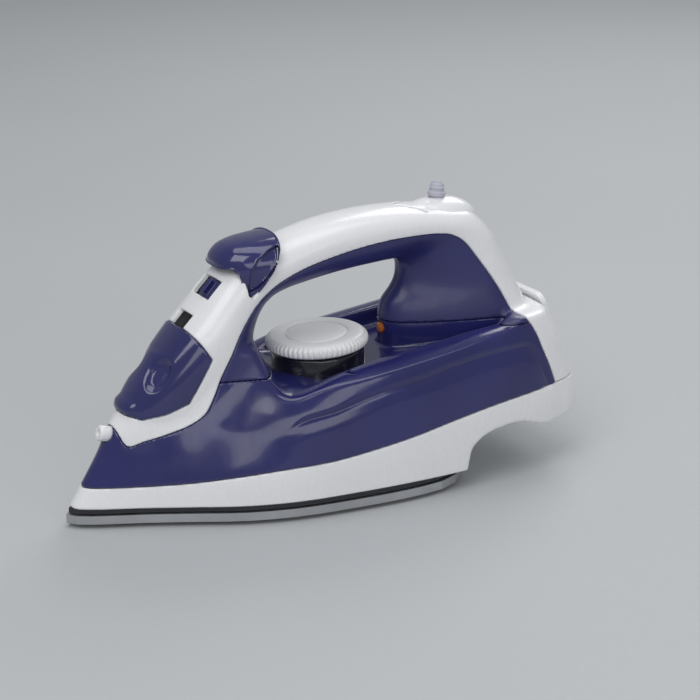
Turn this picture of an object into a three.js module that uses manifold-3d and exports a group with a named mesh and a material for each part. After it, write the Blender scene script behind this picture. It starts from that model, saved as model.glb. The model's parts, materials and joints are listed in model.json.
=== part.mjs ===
// A steam iron, built as it comes apart on a bench.
// Millimetres. s runs back from the tip of the nose, y to the side, z up from the soleplate's face.
import * as THREE from "three";
import { mergeVertices } from "three/addons/utils/BufferGeometryUtils.js";
import Module from "manifold-3d";

const wasm = await Module();
wasm.setup();

// ---------------------------------------------------------------- driving dimensions
const length = 299; // nose to heel
const width = 116; // over the soleplate
const height = 150; // face of the soleplate to the top of the handle
const wall = 2.2; // moulded shells
const tankWall = 2.4;
const gap = 0.3; // between neighbours that touch
const play = 0.4; // between a moving piece and its guide

const soleThickness = 6.8;
const soleSkin = 1.6;
const soleRim = 1.2;
const steamHole = 3.4; // diameter
const skirtFloor = 10.3; // height of the skirt's lower edge
const castingTop = 17.5 * (height / 150);
const elementDiameter = 7;
const elementProud = 2; // its crown above the casting
const chamberDepth = 6.5;
const coverThickness = 1.2;

const dialRadius = 28;
const dialThickness = 7;
const dialTilt = THREE.MathUtils.degToRad(3); // rear edge up
const dialBaseRadius = 25.5;
const shaftDiameter = 6;

const doorThickness = 2.4;
const doorPinDiameter = 2.4;
const leverRadius = 14; // steam lever's face, round its own axis
const leverWidth = 11; // along the slope
const leverThickness = 2.4;
const leverFace = 40; // degrees of arc of the face
const leverSwing = 15; // degrees to either side
const valveRodDiameter = 4;
const nozzleDiameter = 8.4;
const nozzleBore = 1.4;

const pumpDiameter = 9.4;
const pumpLength = 20;
const springDiameter = 6.8; // middle of the wire
const springWire = 0.7;
const tubeRadius = 1.8;
const wireRadius = 1.2;

const glandRadius = 4;
const glandLength = 8; // above the collar
const glandReach = 10; // below it
const cordHole = 2.6; // radius of the hole for the mains cord
const screwDiameter = 3.5;

// ---------------------------------------------------------------- the overall sizes, applied to every
// outline
const ks = length / 299;
const ky = width / 116;
const kz = height / 150;
const S = (v) => v * ks;
const Y = (v) => v * ky;
const Z = (v) => v * kz;

// ---------------------------------------------------------------- solids
const degrees = THREE.MathUtils.degToRad;

function solid(geometry) {
  const bare = geometry.index ? geometry.toNonIndexed() : geometry.clone();
  bare.deleteAttribute("normal");
  bare.deleteAttribute("uv");
  const merged = mergeVertices(bare, 1e-4);
  const triVerts = new Uint32Array(merged.index.array);
  const vertProperties = merged.attributes.position.array;
  const make = () => new wasm.Manifold(new wasm.Mesh({ numProp: 3, vertProperties, triVerts }));
  const made = make();
  if (made.volume() >= 0) return made;
  for (let i = 0; i < triVerts.length; i += 3) {
    [triVerts[i + 1], triVerts[i + 2]] = [triVerts[i + 2], triVerts[i + 1]];
  }
  return make();
}

function geometryOf(body) {
  const mesh = body.getMesh();
  const geometry = new THREE.BufferGeometry();
  const points = new Float32Array(mesh.numVert * 3);
  for (let i = 0; i < mesh.numVert; i++) {
    for (let k = 0; k < 3; k++) points[3 * i + k] = mesh.vertProperties[i * mesh.numProp + k];
  }
  geometry.setAttribute("position", new THREE.BufferAttribute(points, 3));
  geometry.setIndex(new THREE.BufferAttribute(new Uint32Array(mesh.triVerts), 1));
  geometry.computeVertexNormals();
  return geometry;
}

// The largest of the bodies that a cut leaves.
function largest(body) {
  return body.decompose().reduce((best, one) => (one.volume() > best.volume() ? one : best));
}

const union = (...bodies) => bodies.reduce((sum, body) => sum.add(body));

// A body swept along t = 0..1 through closed outlines; outline(t) gives the ring's points.
function loft(steps, outline) {
  const rings = [];
  for (let i = 0; i <= steps; i++) rings.push(outline(i / steps));
  const around = rings[0].length;
  const geometry = new THREE.CylinderGeometry(1, 1, 1, around, steps);
  const place = geometry.attributes.position;
  for (let i = 0; i < place.count; i++) {
    const ring = rings[Math.round((0.5 - place.getY(i)) * steps)];
    if (Math.hypot(place.getX(i), place.getZ(i)) < 0.5) {
      const middle = new THREE.Vector3();
      ring.forEach((p) => middle.addScaledVector(p, 1 / around));
      place.setXYZ(i, middle.x, middle.y, middle.z);
    } else {
      const turn = Math.atan2(place.getX(i), place.getZ(i)) / (2 * Math.PI);
      const p = ring[(Math.round(turn * around) + around) % around];
      place.setXYZ(i, p.x, p.y, p.z);
    }
  }
  return solid(geometry);
}

// A region of the side view, [s, z] points, as a slab right across the iron.
function sideRegion(points, halfWidth = Y(90)) {
  const shape = new THREE.Shape(points.map(([s, z]) => new THREE.Vector2(s, z)));
  const slab = new THREE.ExtrudeGeometry(shape, { depth: 2 * halfWidth, bevelEnabled: false });
  slab.rotateX(Math.PI / 2);
  slab.translate(0, halfWidth, 0);
  return solid(slab);
}

// A region of the plan, [s, y] points, between two heights.
function planRegion(points, low, high) {
  const shape = new THREE.Shape(points.map(([s, y]) => new THREE.Vector2(s, y)));
  const slab = new THREE.ExtrudeGeometry(shape, { depth: high - low, bevelEnabled: false });
  slab.translate(0, 0, low);
  return solid(slab);
}

function box(s0, s1, y0, y1, z0, z1) {
  const block = new THREE.BoxGeometry(s1 - s0, y1 - y0, z1 - z0);
  block.translate((s0 + s1) / 2, (y0 + y1) / 2, (z0 + z1) / 2);
  return solid(block);
}

// A body turned about its own axis: profile is [radius, height] points from the axis and back to it.
function turned(profile, sides = 24) {
  const lathe = new THREE.LatheGeometry(profile.map(([r, h]) => new THREE.Vector2(r, h)), sides);
  lathe.rotateX(Math.PI / 2);
  return solid(lathe);
}

function rod(radius, low, high, sides = 16) {
  return turned([[0, low], [radius, low], [radius, high], [0, high]], sides);
}

function ringRod(inner, outer, low, high, sides = 20) {
  return turned([[inner, low], [outer, low], [outer, high], [inner, high], [inner, low]], sides);
}

// Puts a body made along +Z at a place, with its axis along the given direction.
function put(body, origin, direction = [0, 0, 1], side = null) {
  const axis = new THREE.Vector3(...direction).normalize();
  const turn = new THREE.Matrix4();
  if (side) {
    const x = new THREE.Vector3(...side).normalize();
    const y = new THREE.Vector3().crossVectors(axis, x).normalize();
    turn.makeBasis(new THREE.Vector3().crossVectors(y, axis), y, axis);
  } else {
    const q = new THREE.Quaternion().setFromUnitVectors(new THREE.Vector3(0, 0, 1), axis);
    turn.makeRotationFromQuaternion(q);
  }
  turn.setPosition(...origin);
  return body.transform(turn.elements);
}

function circle(radius, sides = 8) {
  return new THREE.Shape(
    Array.from({ length: sides }, (_, i) => {
      const a = (2 * Math.PI * i) / sides;
      return new THREE.Vector2(radius * Math.cos(a), radius * Math.sin(a));
    }),
  );
}

// A round bar along a curve through [s, y, z] points.
function bar(points, radius, steps, sides = 8) {
  const path = new THREE.CatmullRomCurve3(points.map((p) => new THREE.Vector3(...p)), false, "centripetal");
  return solid(new THREE.ExtrudeGeometry(circle(radius, sides),
    { extrudePath: path, steps, curveSegments: sides }));
}

const line = (points) => points.map(([s, z]) => [S(s), Z(z)]);

function smooth(points, perSpan = 2) {
  const curve = new THREE.CatmullRomCurve3(points.map(([a, b]) => new THREE.Vector3(a, b, 0)), false,
    "centripetal");
  return curve.getPoints((points.length - 1) * perSpan).map((p) => [p.x, p.y]);
}

const ramp = (v) => THREE.MathUtils.smoothstep(v, 0, 1);

// ---------------------------------------------------------------- outlines of the side view
// Top edge of the white skirt, nose to heel.
const skirtTop = smooth(
  line([[-6, 19.4], [8, 20.4], [18, 20.9], [37, 21.4], [60, 23], [84, 26.2], [104, 28.3], [133, 30],
    [158, 33],
    [180, 36.2], [205, 40.6], [231, 44.2], [260, 46.8], [276, 48.2], [309, 50]]), 1);
// Underside of the heel, from the soleplate's rear end to the back.
const underside = smooth(
  line([[214, 8], [215, 15], [217.5, 23], [226.8, 28.6], [239, 30.8], [250, 30.8], [258.5, 28.4],
    [267, 26], [278, 26.6],
    [290, 28.6], [308, 37]]), 1);
// Where the white handle shell meets the navy parts, from under the spray nozzle to the heel.
const shellEdge = line([[20, 58], [26.5, 54], [32, 42.5], [40, 44.8], [52, 48.4], [63, 52.4], [71, 57.4],
  [76.4, 65.4],
  [81.2, 75], [88, 86.5], [96.5, 100.5], [105.5, 110.8], [116, 118.4], [131, 125], [151, 130], [171, 133.4],
  [191, 135], [212, 134.8], [223, 133.2], [231, 128.6], [238, 120], [250, 102.5], [257, 89], [263,
    79], [267, 69],
  [271, 60], [275.5, 48.2]]);
// The heights at which the tank ends and the grip begins, in front of and behind the opening.
const seamFront = Z(73);
const seamRear = Z(85);

// ---------------------------------------------------------------- outer form: the lower body, in level
// outlines
// Each level: height, then the half-outline [s, y] from nose to rear.
const levels = [
  [4, [[0.5, 0], [2.5, 5], [11, 10.5], [34, 20.3], [58, 31.8], [84, 44.4], [111, 52.2], [145, 55.6],
    [190, 56.8], [236, 53.5],
    [274, 47], [292.5, 38], [297, 0]]],
  [10.3, [[4, 0], [6, 5], [14, 10.5], [36, 20.6], [58, 31.6], [84, 44.2], [111, 52.2], [145, 55.8],
    [190, 57], [236, 53.8],
    [274, 47], [292.5, 38], [297.5, 0]]],
  [25, [[13, 0], [15, 4.8], [22, 10.5], [42, 21], [62, 31.5], [86, 43.8], [112, 51.8], [146, 56],
    [190, 57.2], [237, 54],
    [276, 47.5], [294.5, 39], [299, 0]]],
  [38, [[21, 0], [23, 5.4], [30, 11.2], [48, 20.5], [66, 29.6], [88, 41], [113, 50.4], [147, 55.3],
    [190, 56.9], [238, 54],
    [277, 48], [294.5, 39.5], [299, 0]]],
  [48, [[25.6, 0], [27.6, 6], [33.5, 11.6], [49, 18.8], [66, 26], [88, 37], [113, 48.6], [147, 54.3],
    [190, 56.1], [238, 53.6],
    [276, 47.5], [292, 39], [296.5, 0]]],
  [56, [[31, 0], [33, 6.6], [39, 12.4], [51.5, 18], [67, 23.6], [88, 32.4], [113, 45.6], [147, 53],
    [190, 55.2], [238, 53],
    [275, 46.8], [289.5, 38.2], [294, 0]]],
  [64, [[36, 0], [38, 7], [43.5, 13], [55, 18.6], [70, 23], [88, 28.2], [113, 40.5], [147, 51.4],
    [190, 54], [238, 52],
    [273.5, 45.8], [287, 37], [291, 0]]],
  [72, [[41, 0], [43, 7.4], [48.5, 13.6], [59, 19], [73, 22.6], [89, 25.6], [113, 33.5], [147, 48.8],
    [190, 52.4], [237, 50.8],
    [271.5, 44.6], [284.5, 35.6], [288.5, 0]]],
  [80, [[47, 0], [49, 7.6], [54.5, 13.8], [64.5, 19.2], [77, 22.4], [91, 24.4], [113, 28.5], [147, 45],
    [190, 50.4], [236, 49.2],
    [269, 43], [281, 34], [285, 0]]],
  [88, [[53.2, 0], [55.2, 7.8], [60.5, 14], [70, 19.2], [81.5, 22.2], [93, 23.4], [113, 25.5], [147, 40],
    [190, 47.8], [235, 47.2],
    [266, 41], [277.5, 32], [281, 0]]],
];
const between = 2;

function levelOutline(z, inset) {
  let k = 0;
  while (k < levels.length - 2 && z > Z(levels[k + 1][0])) k++;
  const [low, high] = [levels[k], levels[k + 1]];
  const mix = (z / kz - low[0]) / (high[0] - low[0]);
  const half = low[1].map(([s, y], i) => {
    const [s1, y1] = high[1][i];
    return [S(THREE.MathUtils.lerp(s, s1, mix)), Y(THREE.MathUtils.lerp(y, y1, mix))];
  });
  return insetOutline(half, inset);
}

// A full closed outline from a half one, drawn in by a distance: always the same number of points.
function insetOutline(half, inset, fine = between) {
  const mirrored = half.slice(1, -1).reverse().map(([s, y]) => [s, -y]);
  const control = [...half, ...mirrored].map(([s, y]) => new THREE.Vector3(s, y, 0));
  const curve = new THREE.CatmullRomCurve3(control, true, "centripetal");
  const spans = half.length - 1;
  const count = 2 * spans * fine;
  const outline = Array.from({ length: count }, (_, i) => curve.getPoint(i / count));
  if (!inset) return outline;
  // One side, moved in along its normals; points that come too near the line, as at a sharp nose, drop out.
  const dense = Array.from({ length: count * 4 }, (_, i) => curve.getPoint(i / (count * 4)));
  const moved = [];
  for (let i = 0; i <= count * 2; i++) {
    const along = new THREE.Vector3().subVectors(dense[(i + 1) % dense.length],
      dense.at(i - 1)).normalize();
    const p = new THREE.Vector3(dense[i].x + along.y * inset, dense[i].y - along.x * inset, 0);
    const clear = dense.every((q) => q.distanceTo(p) > inset * 0.985);
    if (clear && p.y > 0.05) moved.push(p);
  }
  const [first, second] = moved;
  const lean = THREE.MathUtils.clamp((second.x - first.x) / Math.max(second.y - first.y, 0.05), 0, 1.9);
  const rear = dense[count * 2].x - inset;
  const side = [new THREE.Vector3(first.x - lean * first.y, 0, 0), ...moved, new THREE.Vector3(rear, 0, 0)];
  const path = new THREE.CurvePath();
  for (let i = 1; i < side.length; i++) path.add(new THREE.LineCurve3(side[i - 1], side[i]));
  const reach = Array.from({ length: count / 2 + 1 }, (_, i) => path.getPointAt(Math.pow((2 * i) / count,
    1.2)));
  const back = reach.slice(1, -1).reverse().map((p) => new THREE.Vector3(p.x, -p.y, 0));
  return [...reach, ...back];
}

function lowerBody(inset, bottom, top) {
  const heights = [bottom, ...levels.map(([z]) => Z(z)).filter((z) => z > bottom + 1 && z < top - 1), top];
  return loft(heights.length - 1, (t) => {
    const z = heights[Math.round(t * (heights.length - 1))];
    return levelOutline(z, inset).map((p) => new THREE.Vector3(p.x, p.y, z));
  });
}

// ---------------------------------------------------------------- outer form: the deck on top of the tank
const crest = [[70, 50], [93, 52.5], [107, 57.5], [125, 62.8], [140, 67.4], [156, 70.8], [188, 75],
  [204, 77],
  [230, 80.2], [262, 81.8], [303, 83]];

function crestHeight(s) {
  let k = 0;
  while (k < crest.length - 2 && s > crest[k + 1][0]) k++;
  const [[s0, z0], [s1, z1]] = [crest[k], crest[k + 1]];
  return z0 + ((z1 - z0) * (s - s0)) / (s1 - s0);
}

const wellDepth = 9; // floor of the well below its rim
const rimRise = 3.6; // the well's rim above the shoulder crease
const rimCrown = 1.4; // how far the band between them bulges

function deckHeight(s, y) {
  const side = Math.abs(y);
  const band = rimRise * ramp((51 - side) / 15) + rimCrown * ramp((56 - side) / 10) * ramp((side - 36) / 8);
  const well = wellDepth * ramp((36 - side) / 5) * ramp((s - 122) / 30) * ramp((262 - s) / 14);
  const near = Math.hypot(s - 84, side * 0.72);
  const legRoot = 60 * Math.pow(THREE.MathUtils.clamp(1 - (near - 16) / 30, 0, 1.3), 2.4);
  const far = Math.hypot(Math.max(0, 266 - s), Math.max(0, side - 20) * 0.7);
  const columnRoot = 24 * Math.pow(Math.max(0, 1 - far / 28), 1.6);
  return crestHeight(s) + band - well + legRoot + columnRoot;
}

function aboveDeck(down) {
  const [s0, s1, w] = [78, 306, 66];
  const slab = new THREE.BoxGeometry(1, 2 * w, 1, 24, 14, 1);
  const place = slab.attributes.position;
  for (let i = 0; i < place.count; i++) {
    const t = place.getX(i) + 0.5;
    // Closer steps where the deck climbs to the handle's front leg.
    const s = s0 + (s1 - s0) * (0.45 * t + 0.55 * t * t);
    const [y, z] = [place.getY(i), place.getZ(i)];
    place.setXYZ(i, S(s), Y(y), z > 0 ? Z(190) : Z(Math.min(deckHeight(s, y), 150)) - down);
  }
  return solid(slab);
}

// ---------------------------------------------------------------- outer form: the handle, in cross-sections
// Each: outer point [s, z], inner point [s, z], half-width at the outer side and at the inner side.
const sections = [
  [[33, 46], [104, 34], 15, 22],
  [[33.5, 60], [107, 50], 20, 24],
  [[42.5, 74], [107, 66], 22.4, 24],
  [[53, 86], [107, 79], 23.4, 23.6],
  [[63.6, 97.6], [107.6, 89], 23.6, 22.6],
  [[74, 108.4], [109.6, 98], 22.6, 21.4],
  [[83.4, 118.8], [113.4, 105.4], 21.2, 20.4],
  [[92, 127], [119.4, 110.4], 20, 19.4],
  [[102, 132.4], [127.6, 113.2], 19.4, 18.6],
  [[114, 136.2], [139, 115.2], 19.2, 18],
  [[130, 141.6], [152, 117], 19.2, 17.6],
  [[150, 146.4], [165, 118.4], 19.6, 17.6],
  [[173, 149], [178, 119.4], 20, 17.6],
  [[197, 149.2], [190, 120], 20.6, 17],
  [[224, 146.6], [197.4, 119.6], 21.8, 15],
  [[241.6, 143], [200.4, 116.4], 23, 13.6],
  [[253, 133.4], [200.6, 111.4], 24.6, 12.8],
  [[260.6, 121.2], [199.4, 106.4], 26.6, 12.6],
  [[268, 107], [196, 101], 29.4, 13.4],
  [[274.4, 94.6], [191.4, 95.6], 32.4, 15.4],
  [[280.6, 83], [189.8, 89], 34.6, 17.6],
  [[286, 70], [190, 76], 35, 19],
  [[288, 60], [191, 64], 35, 19],
];
const sectionSides = 20;

function handleForm(inset, list = sections) {
  const inside = inset > 0; // the inside needs fewer steps
  const steps = Math.round((list.length - 1) * (inside ? 1 : 1.4));
  const sides = inside ? 14 : sectionSides;
  const lists = list.map(([o, i, a, b]) => [...o, ...i, a, b]);
  const curves = [0, 2, 4].map(
    (k) => new THREE.CatmullRomCurve3(lists.map((q) => new THREE.Vector3(q[k], q[k + 1], 0)), false,
      "centripetal"),
  );
  return loft(steps, (t) => {
    const [outer, inner, half] = curves.map((curve) => curve.getPoint(t));
    const o = new THREE.Vector2(S(outer.x), Z(outer.y));
    const i = new THREE.Vector2(S(inner.x), Z(inner.y));
    const across = i.clone().sub(o).normalize();
    o.addScaledVector(across, inset);
    i.addScaledVector(across, -inset);
    const ring = [];
    for (let k = 0; k < sides; k++) {
      const a = (2 * Math.PI * k) / sides;
      const [c, d] = [Math.cos(a), Math.sin(a)];
      const f = (1 - Math.sign(c) * Math.pow(Math.abs(c), 0.86)) / 2;
      const breadth = Y(THREE.MathUtils.lerp(half.x, half.y, ramp(f))) - inset;
      const y = breadth * Math.sign(d) * Math.pow(Math.abs(d), 0.82);
      ring.push(new THREE.Vector3(o.x + (i.x - o.x) * f, y, o.y + (i.y - o.y) * f));
    }
    return ring;
  });
}

// The whole outside of the iron above its soleplate, drawn in by a distance.
function form(inset) {
  const body = lowerBody(inset, Z(4), Z(88) - inset).subtract(aboveDeck(inset));
  return body.add(handleForm(inset));
}

const whole = form(0);
const hollow = form(wall);

// ---------------------------------------------------------------- regions of the side view
const [nearS, farS, lowZ, farZ] = [S(-30), S(340), Z(-40), Z(230)];

// A line of the side view, moved to its right-hand side by a distance.
function offsetLine(points, distance) {
  return points.map(([s, z], i) => {
    const [s0, z0] = points[Math.max(0, i - 1)];
    const [s1, z1] = points[Math.min(points.length - 1, i + 1)];
    const reach = Math.hypot(s1 - s0, z1 - z0);
    return [s + ((z1 - z0) / reach) * distance, z - ((s1 - s0) / reach) * distance];
  });
}

// The white shell's region, grown downwards and backwards by a distance.
function shellRegion(grow) {
  const edge = offsetLine(shellEdge, grow);
  const foot = edge.at(-1)[0];
  return sideRegion([[nearS, edge[0][1]], ...edge, [foot, lowZ], [farS, lowZ], [farS, farZ],
    [nearS, farZ]]);
}

function overSkirt(rise) {
  const edge = skirtTop.map(([s, z]) => [s, z + rise]);
  return sideRegion([...edge, [farS, edge.at(-1)[1]], [farS, farZ], [nearS, farZ], [nearS, edge[0][1]]]);
}

function overHeel(rise) {
  const edge = offsetLine(underside, -rise);
  return sideRegion([[nearS, lowZ], [edge[0][0], lowZ], ...edge, [farS, edge.at(-1)[1]], [farS, farZ],
    [nearS, farZ]]);
}

// Below the seam between the tank and the grip.
function underSeam(drop) {
  const step = S(150);
  return sideRegion([[nearS, lowZ], [farS, lowZ], [farS, seamRear - drop], [step, seamRear - drop],
    [step, seamFront - drop], [nearS, seamFront - drop]]);
}

const everywhere = box(nearS, farS, -Y(100), Y(100), lowZ, farZ);
const above = (z) => box(nearS, farS, -Y(100), Y(100), z, farZ);

// ---------------------------------------------------------------- the pieces
const parts = new Map();
const looks = {
  white: { color: 0xe9e9ec, roughness: 0.35, metalness: 0 },
  navy: { color: 0x24265e, roughness: 0.12, metalness: 0 },
  grip: { color: 0x2c2e6c, roughness: 0.3, metalness: 0 },
  black: { color: 0x17171a, roughness: 0.5, metalness: 0 },
  steel: { color: 0x9a9aa2, roughness: 0.28, metalness: 1 },
  aluminium: { color: 0xb4b6ba, roughness: 0.5, metalness: 1 },
  brass: { color: 0xb8964e, roughness: 0.35, metalness: 1 },
  rubber: { color: 0xc9c6c4, roughness: 0.8, metalness: 0 },
  cream: { color: 0xdcd6c8, roughness: 0.5, metalness: 0 },
  amber: { color: 0xd8873a, roughness: 0.2, metalness: 0 },
  copper: { color: 0x8a4a2c, roughness: 0.5, metalness: 0 },
};

function keep(name, body, look) {
  parts.set(name, { body, look });
  return body;
}

// ---- hot half: soleplate, casting, element
const soleHalf = [[0, 0], [3, 5], [12, 10.8], [35, 20.8], [58, 32], [84, 45], [111, 53], [140, 56.5],
  [178, 58],
  [203, 54.5], [219, 43], [227, 24], [230, 0]].map(([s, y]) => [S(s), Y(y)]);
const soleLine = (inset) => insetOutline(soleHalf, inset, 2);
const flat = (outline) => outline.map((p) => [p.x, p.y]);

const soleLayers = [[0, 1.1], [1, 0.2], [soleThickness - 0.6, 0.01], [soleThickness, 0.4]];
let sole = loft(soleLayers.length - 1, (t) => {
  const [z, inset] = soleLayers[Math.round(t * (soleLayers.length - 1))];
  return soleLine(inset).map((p) => new THREE.Vector3(p.x, p.y, z));
});
sole = sole.subtract(planRegion(flat(soleLine(soleRim)), soleSkin, soleThickness + 1));
const holeRows = [[26, 0], [40, 7], [40, -7], [56, 14], [56, -14], [72, 22], [72, -22], [88, 30],
  [88, -30], [104, 36],
  [104, -36], [120, 40], [120, -40], [136, 42], [136, -42]];
for (const [s, y] of holeRows) {
  sole = sole.subtract(put(rod(steamHole / 2, -1, soleSkin + 1, 8), [S(s), Y(y), 0]));
}
keep("soleplate", sole, "steel");

const castingLow = soleSkin + gap;
const castingEdge = 9; // upper part of the casting, in from the soleplate's edge
let casting = planRegion(flat(soleLine(soleRim + gap)), castingLow, soleThickness - gap);
casting = casting.add(planRegion(flat(soleLine(castingEdge)), castingLow,
  castingTop).intersect(overHeel(wall + 2 * gap)));
const chamberHalf = [[62, 0], [65, 4], [74, 9], [92, 15], [110, 18], [124, 17], [131, 10],
  [133, 0]].map(([s, y]) => [S(s), Y(y)]);
const chamberLine = (grow) => flat(insetOutline(chamberHalf, 0, 2)).map(([s, y]) => {
  const middle = S(100);
  const reach = Math.hypot(s - middle, y);
  return [middle + ((s - middle) * (reach + grow)) / reach, (y * (reach + grow)) / reach];
});
casting = casting.subtract(planRegion(chamberLine(0), castingTop - chamberDepth, castingTop + 1));
// Height of the skirt at its middle, above a place s.
const skirtTopAt = (s) => {
  const k = Math.max(1, skirtTop.findIndex((p) => p[0] >= s));
  const [a, b] = [skirtTop[k - 1], skirtTop[k]];
  return a[1] + ((b[1] - a[1]) * (s - a[0])) / (b[0] - a[0]);
};
const elementNose = S(48);
const elementCrown = Math.min(castingTop + elementProud, skirtTopAt(elementNose) - wall - gap);
const elementTop = elementCrown - elementDiameter / 2;
const elementReach = S(205);
const elementEnd = castingTop + 10;
const elementPath = (side) => [[elementReach, side * Y(23), elementEnd],
  [elementReach - 1, side * Y(24), castingTop + 4],
  [elementReach - 8, side * Y(27), elementTop], [S(186), side * Y(38), elementTop], [S(150), side * Y(40),
    elementTop],
  [S(112), side * Y(35.5), elementTop], [S(78), side * Y(23), elementTop], [S(54), side * Y(9),
    elementTop]];
const elementLine = [...elementPath(-1), [elementNose, 0, elementTop], ...elementPath(1).reverse()];
casting = casting.subtract(bar(elementLine, elementDiameter / 2 + gap, 34, 8));

// Three screws hold the skirt on the casting: one into it in front, two into posts at the rear.
const screwRadius = screwDiameter / 2;
const headRadius = 3;
const headHeight = 1.2;
const bossRadius = 4.4;
const soleScrews = [["front", S(30), 0], ["left", S(192), -Y(10)],
  ["right", S(192), Y(10)]].map(([name, s, y]) => {
  const headTop = skirtTopAt(s - headRadius) - gap;
  const bossLow = name === "front" ? castingTop + gap : headTop - headHeight - 3.4;
  return { name, place: [s, y], headTop, bossLow };
});
for (const { place, bossLow } of soleScrews) {
  const post = rod(bossRadius, castingTop - 1, bossLow - gap);
  const hole = rod(screwRadius + gap, castingTop - 8, farZ);
  casting = casting.add(put(post, [...place, 0])).subtract(put(hole, [...place, 0]));
}
keep("sole_casting", largest(casting), "aluminium");
keep("heating_element", bar(elementLine, elementDiameter / 2, 34, 8), "steel");

const valve = [S(92), 0];
const coverLow = castingTop + gap;
let cover = planRegion(chamberLine(3.5), coverLow, coverLow + coverThickness);
cover = cover.subtract(put(rod(6 + gap, 0, 60), [...valve, 0]));
keep("chamber_cover", cover, "steel");

// The black spacer that keeps the skirt off the hot plate, seen as a dark line round the iron.
const spacerLow = soleThickness + gap;
const spacer = planRegion(flat(soleLine(3)), spacerLow, skirtFloor - gap)
  .subtract(planRegion(flat(soleLine(7.5)), 0, skirtFloor + 1));
keep("heat_shield", largest(spacer), "black");

// ---- thermostat, on its tilted axis
const dialTop = Z(84);
const dialPlace = [S(150), 0, dialTop];
const dialAxis = [-Math.sin(dialTilt), 0, Math.cos(dialTilt)];
const along = (origin, axis, distance) => origin.map((v, k) => v + axis[k] * distance);
const dialLow = along(dialPlace, dialAxis, -dialThickness);
const stalk = (radius, low, high, sides = 16) => put(rod(radius, low, high, sides), dialLow, dialAxis);
const shaftBottom = -(dialLow[2] - (castingTop + 6)) / Math.cos(dialTilt);
const shaftRadius = shaftDiameter / 2;
const sleeve = stalk(shaftRadius + play + 3, -80, 0);
const sleeveBore = stalk(shaftRadius + play, -80, 10);

// ---- lower skirt
const cavityLow = Z(2);
const skirtSolid = whole.intersect(everywhere.subtract(overSkirt(0)))
  .intersect(overHeel(0)).intersect(above(skirtFloor));
const skirtRoom = lowerBody(wall, cavityLow, Z(88))
  .intersect(everywhere.subtract(overSkirt(-wall)))
  .intersect(overHeel(wall));
const valveHole = put(rod(5 + gap, 0, 60), [...valve, 0]);
const wirePlace = [S(283), 0];
const wireHole = put(rod(7, Z(40), Z(60), 12), [...wirePlace, 0]);
let skirt = skirtSolid.subtract(skirtRoom);
for (const { place, headTop, bossLow } of soleScrews) {
  const boss = put(rod(bossRadius, bossLow, headTop), [...place,
    0]).intersect(everywhere.subtract(overSkirt(-1)));
  const hole = rod(screwRadius + gap, 0, farZ).add(rod(headRadius + gap, headTop - headHeight - gap, farZ));
  skirt = skirt.add(boss).subtract(put(hole, [...place, 0]));
}
skirt = skirt.subtract(stalk(shaftRadius + play + 0.6, -80, 0)).subtract(valveHole).subtract(wireHole);
keep("lower_skirt", largest(skirt), "white");

for (const { name, place, headTop } of soleScrews) {
  const headLow = headTop - headHeight;
  const socket = put(rod(1.3, headTop - 0.8, headTop + 1, 6), [...place, 0]);
  const screw = put(rod(headRadius, headLow, headTop).add(rod(screwRadius, castingTop - 7.5, headLow,
    10)), [...place, 0]);
  keep(`sole_screw_${name}`, screw.subtract(socket), "steel");
}

// ---- water tank
const nozzleAxis = new THREE.Vector3(-0.966, 0, 0.259).toArray();
const nozzleRoot = [S(33), 0, Z(45.2)];
const nozzleHole = put(rod(nozzleDiameter / 2 + gap, -9, 30), nozzleRoot, nozzleAxis);
const inletPlace = [S(57), 0];
const inletRadius = 6.5;
const seamGap = gap / 2;
const tankSolid = whole.intersect(overSkirt(gap)).intersect(underSeam(seamGap)).subtract(shellRegion(gap));
const rodBore = put(rod(valveRodDiameter / 2 + play, Z(15), Z(90)), [...valve, 0]);
let room = form(tankWall)
  .intersect(overSkirt(gap + tankWall))
  .intersect(underSeam(seamGap + tankWall))
  .subtract(shellRegion(gap + tankWall))
  .subtract(sleeve)
  .subtract(put(rod(nozzleDiameter / 2 + gap + 2, -11, 30), nozzleRoot, nozzleAxis));
room = largest(room);
let tank = tankSolid.subtract(room).subtract(sleeveBore).subtract(nozzleHole);
tank = tank.subtract(put(rod(inletRadius + gap, Z(40), Z(62)), [...inletPlace, 0]));
tank = tank.subtract(put(rod(valveRodDiameter / 2 + play, Z(34), Z(90)), [...valve, 0]));
tank = tank.subtract(put(rod(5 + gap, Z(20), Z(36)), [...valve, 0]));

// Pilot lamp, in a pocket in the foot of the rear column.
const lampPlace = [S(190), 0, Z(80.5)];
const lampAxis = [-1, 0, 0.04];
const lampRadius = 3;
const lampShape = [[0, -1.1], [lampRadius, -1.1], [lampRadius, 0.6], [2.2, 1.3], [1.1, 1.7], [0, 1.8]];
tank = tank.subtract(put(rod(lampRadius + gap, -1.1 - gap, 10), lampPlace, lampAxis));
keep("water_tank", largest(tank), "navy");
keep("pilot_lamp", put(turned(lampShape, 16), lampPlace, lampAxis), "amber");

// ---- navy head on the handle's front, with its two petal-shaped buttons
const headSections = [
  [[91, 127.6], [106, 106], 11, 15],
  [[90.4, 133.6], [112, 108], 15, 18],
  [[95, 138], [119, 110], 18.6, 19],
  [[103, 140.4], [128, 112], 20.6, 19],
  [[113, 141.6], [138, 114], 21, 18.6],
  [[122, 142.2], [146, 116], 20.6, 18],
  [[128, 142.2], [151, 117], 20, 17.6],
];
const headEdge = line([[66, 124], [84, 127], [90, 130.4], [95, 130.2], [97.2, 127.6], [98.8, 122],
  [99.8, 116], [102.4, 114.2],
  [107, 119], [113.4, 128], [119, 137], [121.6, 142], [123, 152], [66, 156]]);
const petalEdge = line([[101.4, 118.6], [101.6, 124], [102.6, 130], [106.4, 134], [112, 136.6],
  [118.4, 138.4], [116.4, 133.8],
  [111.2, 127], [105.6, 120.8]]);
const petalMiddle = [S(108), Z(129)];
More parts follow.
